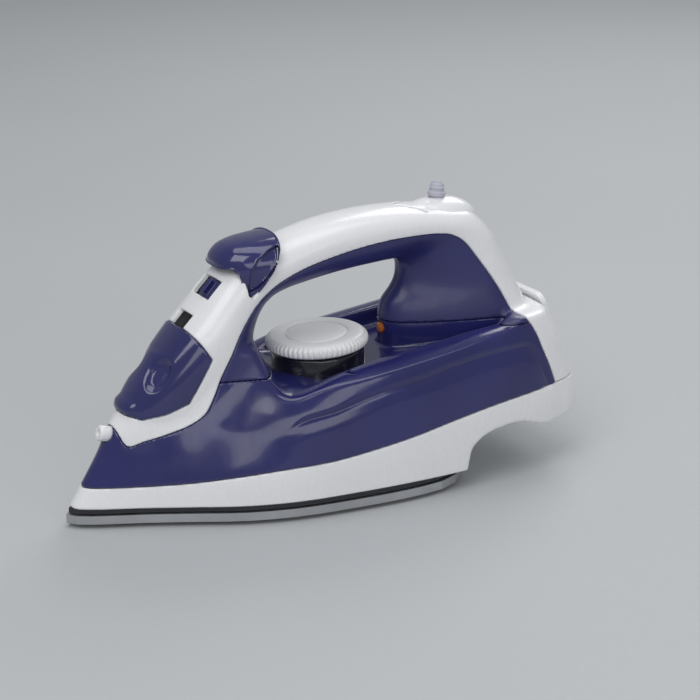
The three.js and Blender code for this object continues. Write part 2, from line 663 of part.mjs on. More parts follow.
const pressSlope = 0.75; // how far a button sinks for each millimetre inwards
const pressAxis = (side) => new THREE.Vector3(0, -side, -pressSlope).normalize().toArray();

// The way a button travels in: its outline, carried inwards and down.
function petalWay(side, grow) {
  const outline = petalEdge.map(([s, z]) => {
    const reach = Math.hypot(s - petalMiddle[0], z - petalMiddle[1]);
    return [s + ((s - petalMiddle[0]) / reach) * grow, z + ((z - petalMiddle[1]) / reach) * grow];
  });
  const block = sideRegion(outline, Y(40)).intersect(box(nearS, farS, 0, Y(60), lowZ, farZ));
  const slope = new THREE.Matrix4().set(1, 0, 0, 0, 0, side, 0, 0, 0, pressSlope, 1, -pressSlope * Y(17),
    0, 0, 0, 1);
  return block.transform(slope.elements);
}

const headSolid = handleForm(0, headSections).intersect(sideRegion(headEdge)).subtract(handleForm(-gap));
const buttonWays = [-1, 1].map((side) => petalWay(side, play));
let head = headSolid;
for (const way of buttonWays) head = head.subtract(way.intersect(box(nearS, farS, -Y(60), Y(60), lowZ,
  farZ)));
keep("button_housing", largest(head), "navy");

const buttonFace = 2.2; // thickness of a button
const stemRadius = 2.2;
const pumpTop = (side) => [S(108.6), side * Y(7.2), Z(119.5)];
const pumpAxis = [-0.5, 0, -0.866];
const plungerReach = 6; // cap above the pump
for (const [side, name] of [[-1, "spray"], [1, "steam"]]) {
  const way = petalWay(side, 0);
  const face = handleForm(-0.8, headSections).subtract(handleForm(buttonFace - 0.8,
    headSections)).intersect(way);
  const stemTop = [S(109.6), side * Y(18), Z(130)];
  const stem = put(rod(stemRadius, 0, Y(5), 10), stemTop, pressAxis(side));
  keep(`${name}_button`, largest(face.add(stem)), "navy");
  const base = pumpTop(side);
  const pump = put(ringRod(3, pumpDiameter / 2, 0, pumpLength - 3,
    16).add(rod(pumpDiameter / 2, pumpLength - 4, pumpLength - 1, 16))
    .add(rod(2, pumpLength - 1.5, pumpLength + 4, 10)), base, pumpAxis);
  keep(`${name}_pump`, pump, "cream");
  const plunger = put(rod(2.6, -plungerReach, 8, 12).add(rod(4.4, -plungerReach - 1.6, -plungerReach,
    12)), base, pumpAxis);
  keep(`${name}_plunger`, plunger, "cream");
  const turns = 4;
  const coils = Array.from({ length: turns * 7 + 1 }, (_, i) => {
    const a = (i / 7) * 2 * Math.PI;
    const reach = springWire / 2 + gap + (plungerReach - springWire - 2 * gap) * (i / (turns * 7));
    return [(springDiameter / 2) * Math.cos(a), (springDiameter / 2) * Math.sin(a), -reach];
  });
  keep(`${name}_spring`, put(bar(coils, springWire / 2, turns * 7, 4), base, pumpAxis), "steel");
  const low = along(base, pumpAxis, pumpLength + 4 + gap);
  const tubeEnd = name === "spray"
    ? [[S(88), -Y(12), Z(85)], [S(77), -Y(14.5), Z(76)], [S(64), -Y(15), Z(64)], [S(52), -Y(13), Z(55.5)],
      [S(45), -Y(7.6), Z(51.6)], [S(40.4), -Y(3), Z(47.4)],
      along(nozzleRoot, nozzleAxis, -3), along(nozzleRoot, nozzleAxis, -gap)]
    : [[S(93), Y(9), Z(88)], [S(96), Y(12), Z(80)], [S(98), Y(13), seamFront + 4],
      [S(98), Y(13), seamFront + gap]];
  keep(`${name}_tube`, bar([low, along(low, pumpAxis, 3), ...tubeEnd], tubeRadius,
    name === "spray" ? 22 : 12), "cream");
}

// ---- white handle shell
const doorEdge = line([[22, 64], [29, 60.4], [34, 58], [40, 56.2], [52, 59], [63.5, 63.8], [70, 74.6],
  [76.6, 86], [71.4, 94.2],
  [66.8, 100.6], [55, 107]]);
const doorMiddle = [S(50), Z(80)];
const growDoor = (grow) => doorEdge.map(([s, z]) => {
  const reach = Math.hypot(s - doorMiddle[0], z - doorMiddle[1]);
  return [s + ((s - doorMiddle[0]) / reach) * grow, z + ((z - doorMiddle[1]) / reach) * grow];
});
const notchHalf = Y(7.5);
const notch = sideRegion(line([[58, 99], [68.5, 97], [74.5, 104.5], [71.5, 109], [60, 112]]), notchHalf);

// Steam lever: everything about it is placed on its own axis, which runs up the slope of the front.
const slope = new THREE.Vector3(0.695, 0, 0.718).normalize();
const slopeOut = new THREE.Vector3(-slope.z, 0, slope.x);
const leverTop = new THREE.Vector3(S(84.2), 0, Z(119.6));
const leverAxis = leverTop.clone().addScaledVector(slopeOut, -(leverRadius + 0.7));
const slotHalf = leverRadius * Math.sin(degrees(leverFace / 2 + leverSwing)) + 1.4;
const slotBlock = new THREE.BoxGeometry(leverWidth + 2 * play, 2 * slotHalf, 20);
const slot = put(solid(slotBlock), leverTop.toArray(), slopeOut.toArray(), slope.toArray());

const shellSolid = whole.intersect(shellRegion(0)).intersect(overSkirt(gap));
const glandRoot = [S(225), 0, Z(138) + 12.6];
const glandAxis = new THREE.Vector3(0.08, 0, 1).normalize().toArray();
const collarSolid = put(turned([[0, -16], [1, -16], ...Array.from({ length: 9 }, (_, i) => {
  const a = (Math.PI / 2) * (i / 8);
  return [24 * Math.cos(a), 12.5 * Math.sin(a)];
}).filter(([r]) => r > 0.5), [0, 12.5]], 24).scale([1, 0.62, 1]), [S(225), 0, Z(138)]);
let shell = shellSolid.subtract(hollow);
shell = shell.subtract(sideRegion(growDoor(gap))).subtract(notch).subtract(slot).subtract(nozzleHole);
for (const side of [-1, 1]) shell = shell.subtract(petalWay(side,
  play).intersect(box(nearS, farS, -Y(21), Y(21), lowZ, farZ)));
const collarBore = put(rod(glandRadius + 3, -30, 30), glandRoot, glandAxis);
shell = shell.subtract(collarBore);

// Rear cover: a flat plate on which the iron rests when it stands up.
const coverFoot = [S(300.2), Z(47)];
const coverHead = [S(283.2), Z(92)];
const coverWall = 3;
const coverHalf = Y(22);
const coverUp = new THREE.Vector3(coverHead[0] - coverFoot[0], 0, coverHead[1] - coverFoot[1]);
const coverHeight = coverUp.length();
coverUp.normalize();
const coverOut = new THREE.Vector3(coverUp.z, 0, -coverUp.x);
const coverMiddle = new THREE.Vector3((coverFoot[0] + coverHead[0]) / 2, 0,
  (coverFoot[1] + coverHead[1]) / 2);
const coverPlate = (grow, low, high) => {
  const w = coverHalf + grow;
  const h = coverHeight / 2 + grow;
  const r = Math.max(1, 6 + grow);
  const shape = new THREE.Shape();
  shape.moveTo(-h + r, -w);
  shape.lineTo(h - r, -w);
  shape.absarc(h - r, -w + r, r, -Math.PI / 2, 0);
  shape.absarc(h - r, w - r, r, 0, Math.PI / 2);
  shape.absarc(-h + r, w - r, r, Math.PI / 2, Math.PI);
  shape.absarc(-h + r, -w + r, r, Math.PI, 1.5 * Math.PI);
  const plate = new THREE.ExtrudeGeometry(shape, { depth: high - low, bevelEnabled: false,
    curveSegments: 4 });
  plate.translate(0, 0, low);
  return put(solid(plate), coverMiddle.toArray(), coverOut.toArray(), coverUp.toArray());
};
shell = shell.subtract(coverPlate(gap, -12, 20));
const coverLug = coverPlate(1.6, -coverWall - 3.4, -coverWall - gap).subtract(coverPlate(-8,
  -coverWall - 5, 20));
shell = shell.add(coverLug.intersect(form(0.6)).intersect(overSkirt(gap)));
// A place behind the cover: up the plate, across it, and inwards from its face.
const onCover = (up, y, deep = 0) => coverMiddle.clone().addScaledVector(coverUp,
  up).addScaledVector(coverOut, -deep)
  .add(new THREE.Vector3(0, y, 0)).toArray();
const screwPlace = onCover(coverHeight / 2 - 5.4, 0);
const headDeep = 1.6;
const coverHole = put(rod(screwRadius + gap, -12, 2, 12), screwPlace, coverOut.toArray());
keep("handle_shell", largest(shell.subtract(coverHole)), "white");
const coverSink = put(rod(headRadius + gap, -headDeep, 2), screwPlace, coverOut.toArray());
const besideSkirt = form(-gap).intersect(everywhere.subtract(overSkirt(0)));
const rearCover = coverPlate(0, -coverWall, 0).subtract(coverHole).subtract(coverSink).subtract(besideSkirt);
keep("rear_cover", largest(rearCover), "white");
const coverScrew = rod(headRadius, -headDeep + gap, -0.2).add(rod(screwRadius, -9, -headDeep + gap, 10))
  .subtract(rod(1.3, -0.9, 1, 6));
keep("cover_screw", put(coverScrew, screwPlace, coverOut.toArray()), "steel");

// ---- navy grip under the arch
const gripSolid = whole.subtract(shellRegion(gap)).subtract(underSeam(-seamGap));
const grip = gripSolid.subtract(hollow).subtract(rodBore);
keep("grip", largest(grip), "grip");

// ---- filling hole: flap, its pin, and the funnel behind it
const hinge = [S(34.6), 0, Z(61.6)];
const doorLip = 0.4;
let door = form(-doorLip).subtract(form(doorThickness - doorLip)).intersect(sideRegion(growDoor(0)));
const pinRadius = doorPinDiameter / 2;
const across = [0, 1, 0];
const eyeHalf = Y(5);
door = door.add(put(rod(pinRadius + 1.3, -eyeHalf, eyeHalf, 12), hinge, across));
door = door.subtract(put(rod(pinRadius + gap, -Y(30), Y(30), 12), hinge, across));
keep("fill_door", largest(door), "navy");
keep("fill_door_pin", put(rod(pinRadius, -Y(9), Y(9), 12), hinge, across), "steel");

const funnelWall = 1.6;
const funnelEdge = line([[42, 62], [52, 61], [61, 66.5], [67, 77], [69.5, 86], [66, 93], [60, 96],
  [50, 86]]);
const funnelFit = form(doorThickness + 1.2);
const funnelHalf = Y(12);
let funnel = funnelFit.intersect(sideRegion(funnelEdge)).intersect(box(nearS, farS, -funnelHalf,
  funnelHalf, lowZ, farZ));
const funnelRoom = sideRegion(offsetLine(funnelEdge, 0).map(([s, z]) => [s - 3.2, z + 1.6]))
  .intersect(box(nearS, farS, -funnelHalf + funnelWall, funnelHalf - funnelWall, lowZ, farZ));
funnel = funnel.subtract(funnelRoom);
funnel = funnel.add(put(rod(inletRadius, Z(47), Z(66)), [...inletPlace,
  0]).intersect(everywhere.subtract(funnelRoom)));
funnel = funnel.subtract(put(rod(inletRadius - funnelWall, Z(40), Z(68)), [...inletPlace, 0]));
keep("fill_funnel", largest(funnel), "navy");

// ---- spray nozzle and the tubes of the two pumps
const nozzle = turned([[nozzleBore / 2, 0], [nozzleDiameter / 2 - 1.4, 0], [nozzleDiameter / 2 - 1.4, 3],
  [nozzleDiameter / 2, 3],
  [nozzleDiameter / 2, 11.6], [nozzleDiameter / 2 - 1, 12.6], [1.6, 12.6], [nozzleBore / 2,
    11.2], [nozzleBore / 2, 0]], 16);
keep("spray_nozzle", put(nozzle, nozzleRoot, nozzleAxis), "white");

// ---- steam lever and the valve it turns
const inLever = (body) => put(body, leverAxis.toArray(), slope.toArray(), slopeOut.toArray());
const wedge = (half, reach) => {
  const shape = new THREE.Shape();
  shape.moveTo(0, 0);
  for (let i = 0; i <= 6; i++) {
    const a = -half + (2 * half * i) / 6;
    shape.lineTo(reach * Math.cos(a), reach * Math.sin(a));
  }
  const slice = new THREE.ExtrudeGeometry(shape, { depth: 60, bevelEnabled: false });
  slice.translate(0, 0, -30);
  return solid(slice);
};
const turnedBy = (body, angle) => body.transform(new THREE.Matrix4().makeRotationZ(angle).elements);
let lever = ringRod(leverRadius - leverThickness, leverRadius, -leverWidth / 2, leverWidth / 2, 36)
  .intersect(wedge(degrees(leverFace / 2), 30));
const rib = new THREE.BoxGeometry(4.4, 2.6, leverWidth - 3);
rib.translate(leverRadius + 1.4, 0, 0);
const spoke = new THREE.BoxGeometry(leverRadius - 2, 3, 4);
spoke.translate(leverRadius / 2, 0, 0);
lever = union(lever, solid(rib), solid(spoke), rod(3, -leverWidth / 2, leverWidth / 2, 16));
keep("steam_lever", inLever(turnedBy(lever, degrees(leverSwing))), "navy");

const rodTop = leverAxis.z - 8.6;
const seatHeight = castingTop + 5.5;
const valveRod = rod(valveRodDiameter / 2, seatHeight, rodTop, 12).add(rod(3.4, rodTop - 3, rodTop, 12));
keep("valve_rod", put(valveRod, [...valve, 0]), "steel");
const seat = turned([[1, castingTop + 0.8], [5, castingTop + 0.8], [5, seatHeight + 5],
  [valveRodDiameter / 2 + gap, seatHeight + 5],
  [valveRodDiameter / 2 + gap, seatHeight - gap], [1, seatHeight - 1.6], [1, castingTop + 0.8]], 16);
keep("valve_seat", put(seat, [...valve, 0]), "brass");
keep("valve_seal", put(ringRod(valveRodDiameter / 2 + play, 5, seatHeight + 5 + gap, seatHeight + 8),
  [...valve, 0]), "black");

// ---- thermostat dial, its dark base, shaft and body
const dialShape = [[0, 0], [dialRadius - 1.6, 0], [dialRadius, 1.2], [dialRadius, 4.6],
  [dialRadius - 2.4, dialThickness],
  [17.8, dialThickness], [17.2, dialThickness - 0.7], [16.6, dialThickness], [0, dialThickness]];
keep("thermostat_dial", put(turned(dialShape, 40), dialLow, dialAxis), "white");
const floorUnder = Z(56);
const dialBase = stalk(dialBaseRadius, floorUnder - dialLow[2], -gap, 40)
  .subtract(form(-gap)).subtract(sleeveBore).subtract(stalk(dialBaseRadius - 2.2, floorUnder - dialLow[2],
    -2.4, 36)
  .intersect(everywhere.subtract(form(-gap))));
keep("dial_base", largest(dialBase), "black");
keep("thermostat_shaft", put(rod(shaftRadius, shaftBottom + 6, -gap, 14), dialLow, dialAxis), "steel");
const bodyLength = 24;
const bodyWidth = 20;
const bodyHeight = 8;
const bodyMiddle = along(dialLow, dialAxis, shaftBottom)[0];
const bodyLow = castingTop + gap;
const thermostat = box(bodyMiddle - bodyLength / 2, bodyMiddle + bodyLength / 2, -bodyWidth / 2,
  bodyWidth / 2,
  bodyLow, bodyLow + bodyHeight)
  .add(put(rod(5, 0, 6, 16), [bodyMiddle, 0, bodyLow + 6], dialAxis))
  .subtract(stalk(shaftRadius + gap, shaftBottom + 5.4, 10));
const underSkirt = everywhere.subtract(overSkirt(-wall - gap));
keep("thermostat_body", thermostat.intersect(underSkirt), "cream");

// ---- wiring: element ends, fuse, and the block behind the rear cover
const pinHeight = 3;
const pinTop = elementEnd + gap + pinHeight + gap;
for (const [side, name] of [[-1, "left"], [1, "right"]]) {
  const pin = rod(1.3, elementEnd + gap, elementEnd + gap + pinHeight, 10);
  keep(`element_pin_${name}`, put(pin, [elementReach, side * Y(23), 0]), "steel");
}
const fuseRadius = 3;
const fuseLength = 18;
const fuseHeight = castingTop + gap + fuseRadius;
const fusePlace = [S(166), Y(19), fuseHeight];
const fuseEnd = fusePlace[0] + fuseLength;
keep("thermal_fuse", put(rod(fuseRadius, 0, fuseLength, 12), fusePlace, [1, 0, 0]), "white");

const blockHeight = 12;
const blockDeep = 9;
const blockHalf = 13;
const block = new THREE.BoxGeometry(blockHeight, 2 * blockHalf, blockDeep);
keep("terminal_block", put(solid(block), onCover(-2, 0, coverWall + gap + blockDeep / 2),
  coverOut.toArray(), coverUp.toArray()),
  "cream");
const blockFoot = (y) => [onCover(-2 - blockHeight / 2 - gap - 4, y, coverWall + 5.4),
  onCover(-2 - blockHeight / 2 - gap, y, coverWall + 5.4)];
const wires = {
  wire_neutral: [[elementReach, -Y(23), pinTop], [elementReach, -Y(23), pinTop + 1.6],
    [S(212), -Y(21), Z(35.2)],
    [S(230), -Y(15), Z(38)], [S(255), -Y(9), Z(40.4)], [S(272), -Y(6), Z(41.6)], [S(281), -Y(4.6), Z(45)],
    [S(284), -Y(5), Z(51)], ...blockFoot(-Y(8))],
  wire_live: [[bodyMiddle + bodyLength / 2 + gap, Y(3), bodyLow + 4],
    [bodyMiddle + bodyLength / 2 + 4, Y(3), bodyLow + 4], [S(178), Y(2), Z(26)], [S(192), 0, Z(30.5)],
    [S(215), 0, Z(36)], [S(245), 0, Z(39)], [S(270), 0, Z(41)], [S(281), 0, Z(45)], [S(284.4), 0,
      Z(51)], ...blockFoot(0)],
  wire_earth: [[S(204), Y(7), castingTop + gap], [S(204.4), Y(7), castingTop + 5], [S(209), Y(7), Z(29)],
    [S(225), Y(7), Z(36.4)], [S(250), Y(6.4), Z(40)], [S(271), Y(5), Z(41.4)], [S(281), Y(4.6), Z(45)],
    [S(284), Y(5), Z(51)], ...blockFoot(Y(8))],
  wire_fuse: [[elementReach, Y(23), pinTop], [elementReach, Y(23), pinTop + 1.6], [S(202), Y(21), Z(34.8)],
    [S(197), Y(19), Z(30.6)], [S(192), Y(19), Z(22.6)], [fuseEnd + 3, fusePlace[1],
      fuseHeight], [fuseEnd + gap, fusePlace[1], fuseHeight]],
  wire_thermostat: [[fusePlace[0] - gap, fusePlace[1], fuseHeight],
    [fusePlace[0] - 4, fusePlace[1] - 0.4, fuseHeight + 0.2],
    [bodyMiddle + 7, Y(15), fuseHeight + 0.6], [bodyMiddle + 6, bodyWidth / 2 + gap, fuseHeight + 0.8]],
};
for (const [name, points] of Object.entries(wires)) {
  keep(name, bar(points, wireRadius, 2 * points.length, 6), name === "wire_earth" ? "brass" : "rubber");
}

// ---- cord end: collar in the handle's rear, guard, terminal block
const collar = collarSolid.subtract(form(-gap)).subtract(put(rod(glandRadius + gap, -40, 40, 16),
  glandRoot, glandAxis));
keep("cord_collar", largest(collar), "white");

const glandShape = [[cordHole, -glandReach], [glandRadius + 2.4, -glandReach],
  [glandRadius + 2.4, -glandReach + 3],
  [glandRadius, -glandReach + 3], [glandRadius, 0], [glandRadius + 0.9, 1], [glandRadius + 0.9,
    2.4], [glandRadius, 3.2],
  [glandRadius - 0.2, 5], [glandRadius - 0.5, glandLength - 0.6], [glandRadius - 1,
    glandLength], [cordHole + 0.4, glandLength],
  [cordHole, glandLength - 1], [cordHole, -glandReach]];
keep("cord_gland", put(turned(glandShape, 14), glandRoot, glandAxis), "rubber");

const iron = new THREE.Group();
for (const [name, { body, look }] of parts) {
  const mesh = new THREE.Mesh(geometryOf(body), new THREE.MeshStandardMaterial(looks[look]));
  mesh.name = name;
  iron.add(mesh);
}
// The origin is under the middle of the whole object, on the soleplate's face.
const extent = new THREE.Box3().setFromObject(iron);
iron.position.x = -(extent.min.x + extent.max.x) / 2;

export default iron;
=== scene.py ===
# The looks of the steam iron: its mouldings, dial, nozzle and soleplate, and every finish.
# Shapes are worked out in millimetres, with s running back from the tip of the nose, y across and z up.
import json
import math

import bmesh
import bpy
import numpy as np
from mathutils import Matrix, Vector


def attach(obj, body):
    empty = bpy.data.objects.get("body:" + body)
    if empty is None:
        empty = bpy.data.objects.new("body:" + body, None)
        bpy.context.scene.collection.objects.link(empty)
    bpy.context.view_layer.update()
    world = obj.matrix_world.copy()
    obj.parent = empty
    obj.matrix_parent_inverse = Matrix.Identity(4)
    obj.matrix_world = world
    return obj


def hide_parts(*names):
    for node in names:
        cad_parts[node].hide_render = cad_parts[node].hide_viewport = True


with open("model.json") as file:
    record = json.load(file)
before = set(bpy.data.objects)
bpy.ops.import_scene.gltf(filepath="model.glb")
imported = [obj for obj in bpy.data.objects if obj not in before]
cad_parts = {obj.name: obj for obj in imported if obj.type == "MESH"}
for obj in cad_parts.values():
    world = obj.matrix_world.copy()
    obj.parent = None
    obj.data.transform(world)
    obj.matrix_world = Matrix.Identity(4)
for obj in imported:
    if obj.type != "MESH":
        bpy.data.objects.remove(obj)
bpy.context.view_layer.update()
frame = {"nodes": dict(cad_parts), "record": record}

MM = 0.001
NOSE = 150.045  # from the tip of the nose back to the origin
SEAM = 0.3  # open width of a seam between two mouldings
WALL = 1.9  # of a moulding
ROLL = 0.6  # radius of a moulding's edge
VOXEL = 0.75

DIAL_THICKNESS = 7
DIAL_RIBS = 60
DIAL_TILT = math.radians(3)
DIAL_TOP = (150, 0, 84)
BASE_RADIUS = 25.5
SKIRT_FLOOR = 10.3
SEAM_FRONT = 73
SEAM_REAR = 85
AHEAD, BEHIND, BELOW, ABOVE = -30, 340, -40, 230  # well outside the iron
SHARP = math.radians(40)  # a crease sharper than this stays crisp
WELD_REACH = 2e-6
EDGE_ROUND = 0.25  # on the CAD pieces that stay
EDGE_FROM = math.radians(50)
RELAX_STEP = 0.6
RELAX_ALL = 9  # rounds of evening out
RELAX_ROOTS = 30

CAMERA_TURN = 29
CAMERA_RISE = 18
CAMERA_DISTANCE = 1200
CAMERA_LENS = 113.04
CAMERA_TARGET = (17.86, -5.4, 72.16)
LIGHTS = [  # name, place, aim, size, power
    ("key", (-0.9, -0.7, 1.5), (0, 0, 0.06), (1.1, 1.1), 11),
    ("front", (-0.2, -1.9, 0.75), (0, 0, 0.05), (1.8, 0.7), 7),
    ("rear", (1.1, 0.9, 1.2), (0.02, 0, 0.06), (0.9, 0.9), 8),
    ("top", (0.1, 0.1, 1.8), (0, 0, 0), (1.4, 0.8), 7),
]
SKY = (0.86, 0.88, 0.9, 1)
SKY_STRENGTH = 0.36
FLOOR_REACH = 4
FLOOR_DROP = 0.0006  # under the soleplate

UNDER_HEAD = 0.25  # how far the shell runs in under the head
SLIT_START = np.array([199, 2])
SLIT_RUN = np.array([12.5, 10])
SLIT_HALF = 0.8
SLIT_ABOVE = 135
HINGE = (34.6, 61.6)
BARREL_RISE = 1.5
BARREL_REACH = 4.8
BARREL_HALF = 13
SCOOP = np.array([50.5, 12.5, 79])
SCOOP_UP = np.array([0.62, -0.05, 0.78]) / np.linalg.norm([0.62, -0.05, 0.78])
SCOOP_OUT = np.array([-0.45, 0.82, 0.36]) / np.linalg.norm([-0.45, 0.82, 0.36])
SCOOP_REACH = np.array([11, 7])
SCOOP_DEPTH = 3
SCOOP_BACK = -9
DOOR_PROUD = 0.4
COLLAR_MIDDLE = (225, 0, 138)
COLLAR_REACH = (24, 14.9, 12.5)
COLLAR_HOLE = 4.3
PANEL_SINK = 0.55
CREASE_DEPTH = 0.7
CREASE_WIDTH = 1.5
SCORE_DEPTH = 0.5  # the seam down the rear column
SCORE_WIDTH = 0.7
LAMP_HEIGHT = 80.5
LAMP_RADIUS = 3.3
LAMP_SPAN = (184, 196)
NOTCH_HALF = 7.5
NOZZLE_CLEAR = 4.5
GLAND_CLEAR = 7
COVER_HALF = 22
COVER_CORNER = 6
PETAL_SEAM = 0.4
PETAL_INNER = 4  # a petal's nearest point to the middle
PETAL_PROUD = 0.8
RIB_HEIGHT = 0.42
STEAM_HOLES = [[26, 0], [40, 7], [56, 14], [72, 22], [88, 30], [104, 36], [120, 40], [136, 42]]
HOLE_RADIUS = 1.7
HOLE_DEPTH = 3

# ---------------------------------------------------------------- camera and light


def add_camera():
    turn, rise = math.radians(CAMERA_TURN), math.radians(CAMERA_RISE)
    back = Vector((-math.sin(turn) * math.cos(rise), -math.cos(turn) * math.cos(rise), math.sin(rise)))
    data = bpy.data.cameras.new("camera")
    data.lens = CAMERA_LENS
    data.sensor_width = 36
    data.clip_end = 20
    camera = bpy.data.objects.new("camera", data)
    camera.location = (Vector(CAMERA_TARGET) + back * CAMERA_DISTANCE) * MM
    camera.rotation_euler = back.to_track_quat("Z", "Y").to_euler()
    bpy.context.collection.objects.link(camera)
    bpy.context.scene.camera = camera


def add_light(name, place, aim, size, power):
    data = bpy.data.lights.new(name, "AREA")
    data.shape = "RECTANGLE"
    data.size, data.size_y = size
    data.energy = power
    light = bpy.data.objects.new(name, data)
    light.location = place
    light.rotation_euler = (Vector(place) - Vector(aim)).to_track_quat("Z", "Y").to_euler()
    bpy.context.collection.objects.link(light)


def add_studio():
    for light in LIGHTS:
        add_light(*light)
    world = bpy.data.worlds.new("studio")
    world.use_nodes = True
    background = world.node_tree.nodes["Background"]
    background.inputs["Color"].default_value = SKY
    background.inputs["Strength"].default_value = SKY_STRENGTH
    bpy.context.scene.world = world
    bpy.context.scene.view_settings.view_transform = "Standard"


# ---------------------------------------------------------------- curves and grids
def catmull(points, t, closed=False):
    """Points on a centripetal Catmull-Rom curve through the given points, t from 0 to 1."""
    p = np.asarray(points, float)
    n = len(p)
    u = np.asarray(t, float) * (n if closed else n - 1)
    k = np.minimum(np.floor(u).astype(int), n - 1 if closed else n - 2)
    w = (u - k)[:, None]
    if closed:
        a, b, c, d = p[(k - 1) % n], p[k % n], p[(k + 1) % n], p[(k + 2) % n]
    else:
        ends = np.vstack([2 * p[0] - p[1], p, 2 * p[-1] - p[-2]])
        a, b, c, d = ends[k], ends[k + 1], ends[k + 2], ends[k + 3]
    d0, d1, d2 = [
        np.maximum(np.sum((q - r) ** 2, 1) ** 0.25, 1e-6)[:, None] for q, r in ((b, a), (c, b), (d, c))
    ]
    leave = ((b - a) / d0 - (c - a) / (d0 + d1) + (c - b) / d1) * d1
    arrive = ((c - b) / d1 - (d - b) / (d1 + d2) + (d - c) / d2) * d1
    w2, w3 = w**2, w**3
    return b * (2 * w3 - 3 * w2 + 1) + leave * (w3 - 2 * w2 + w) + c * (3 * w2 - 2 * w3) + arrive * (w3 - w2)


def ramp(v):
    v = np.clip(v, 0, 1)
    return v * v * (3 - 2 * v)


def ring_faces(rings, around):
    """Faces of a tube of rings, and fans to two end points that come after the rings."""
    i, k = np.meshgrid(np.arange(rings - 1), np.arange(around), indexing="ij")
    j = (k + 1) % around
    quads = np.stack([i * around + k, i * around + j, (i + 1) * around + j, (i + 1) * around + k], -1)
    faces = quads.reshape(-1, 4).tolist()
    first, last = rings * around, rings * around + 1
    top = (rings - 1) * around
    faces += [[first, (k + 1) % around, k] for k in range(around)]
    faces += [[last, top + k, top + (k + 1) % around] for k in range(around)]
    return faces


def tube(rings):
    """A closed body through equal rings of points."""
    rings = np.asarray(rings, float)
    points = np.vstack([rings.reshape(-1, 3), rings[0].mean(0), rings[-1].mean(0)])
    return points, ring_faces(rings.shape[0], rings.shape[1])


def prism(outline, half):
    """A side-view outline, [s, z] points, as a slab across the iron."""
    outline = np.asarray(outline, float)
    n = len(outline)
    points = np.vstack([np.insert(outline, 1, -half, axis=1), np.insert(outline, 1, half, axis=1)])
    faces = [list(range(n)), list(range(2 * n - 1, n - 1, -1))]
    faces += [[k, k + n, (k + 1) % n + n, (k + 1) % n] for k in range(n)]
    return points, faces


def lathe(profile, around, wave=None):
    """A profile of [radius, height] points turned about +Z.

    A third number in a point says how much of wave(angle) its radius takes."""
    angle = np.linspace(0, 2 * math.pi, around, endpoint=False)
    rings = []
    for radius, height, *rib in profile:
        r = radius + (wave(angle) * rib[0] if rib and wave else 0)
        rings.append(np.stack([r * np.cos(angle), r * np.sin(angle), np.full(around, float(height))], 1))
    return tube(rings)


def turned_to(points, origin, axis, side=None):
    """Moves points made about +Z to a place and an axis."""
    z = np.array(axis, float) / np.linalg.norm(axis)
    x = np.array(side if side is not None else ([1, 0, 0] if abs(z[0]) < 0.9 else [0, 0, 1]), float)
    x -= z * (x @ z)
    x /= np.linalg.norm(x)
    return np.asarray(origin, float) + points @ np.stack([x, np.cross(z, x), z])


# ---------------------------------------------------------------- meshes
def as_mesh(name, points, faces):
    mesh = bpy.data.meshes.new(name)
    place = np.array(points, float)
    place[:, 0] -= NOSE
    mesh.from_pydata((place * MM).tolist(), [], faces)
    mesh.update()
    return mesh


def as_object(name, points, faces):
    thing = bpy.data.objects.new(name, as_mesh(name, points, faces))
    bpy.context.collection.objects.link(thing)
    return thing


def face_out(mesh):
    bm = bmesh.new()
    bm.from_mesh(mesh)
    bmesh.ops.recalc_face_normals(bm, faces=bm.faces)
    bm.to_mesh(mesh)
    bm.free()


def applied(thing):
    """The mesh of an object with its modifiers applied; the object itself goes."""
    graph = bpy.context.evaluated_depsgraph_get()
    mesh = bpy.data.meshes.new_from_object(thing.evaluated_get(graph))
    bpy.data.objects.remove(thing)
    return mesh


def cut(thing, other, how):
    """Joins or cuts a body with another one."""
    for body in (thing, other):
        face_out(body.data)
    step = thing.modifiers.new("cut", "BOOLEAN")
    step.operation = how
    step.solver = "EXACT"
    step.object = other
    mesh = applied(thing)
    bpy.data.objects.remove(other)
    made = bpy.data.objects.new("body", mesh)
    bpy.context.collection.objects.link(made)
    return made


def finished(thing, body, *nodes):
    """Smooths a piece's shading and lets it stand for its CAD nodes."""
    mesh = thing.data
    mesh.polygons.foreach_set("use_smooth", np.ones(len(mesh.polygons), bool))
    mesh.set_sharp_from_angle(angle=SHARP)
    mesh.update()
    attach(thing, body)
    if nodes:
        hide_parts(*nodes)
    return thing


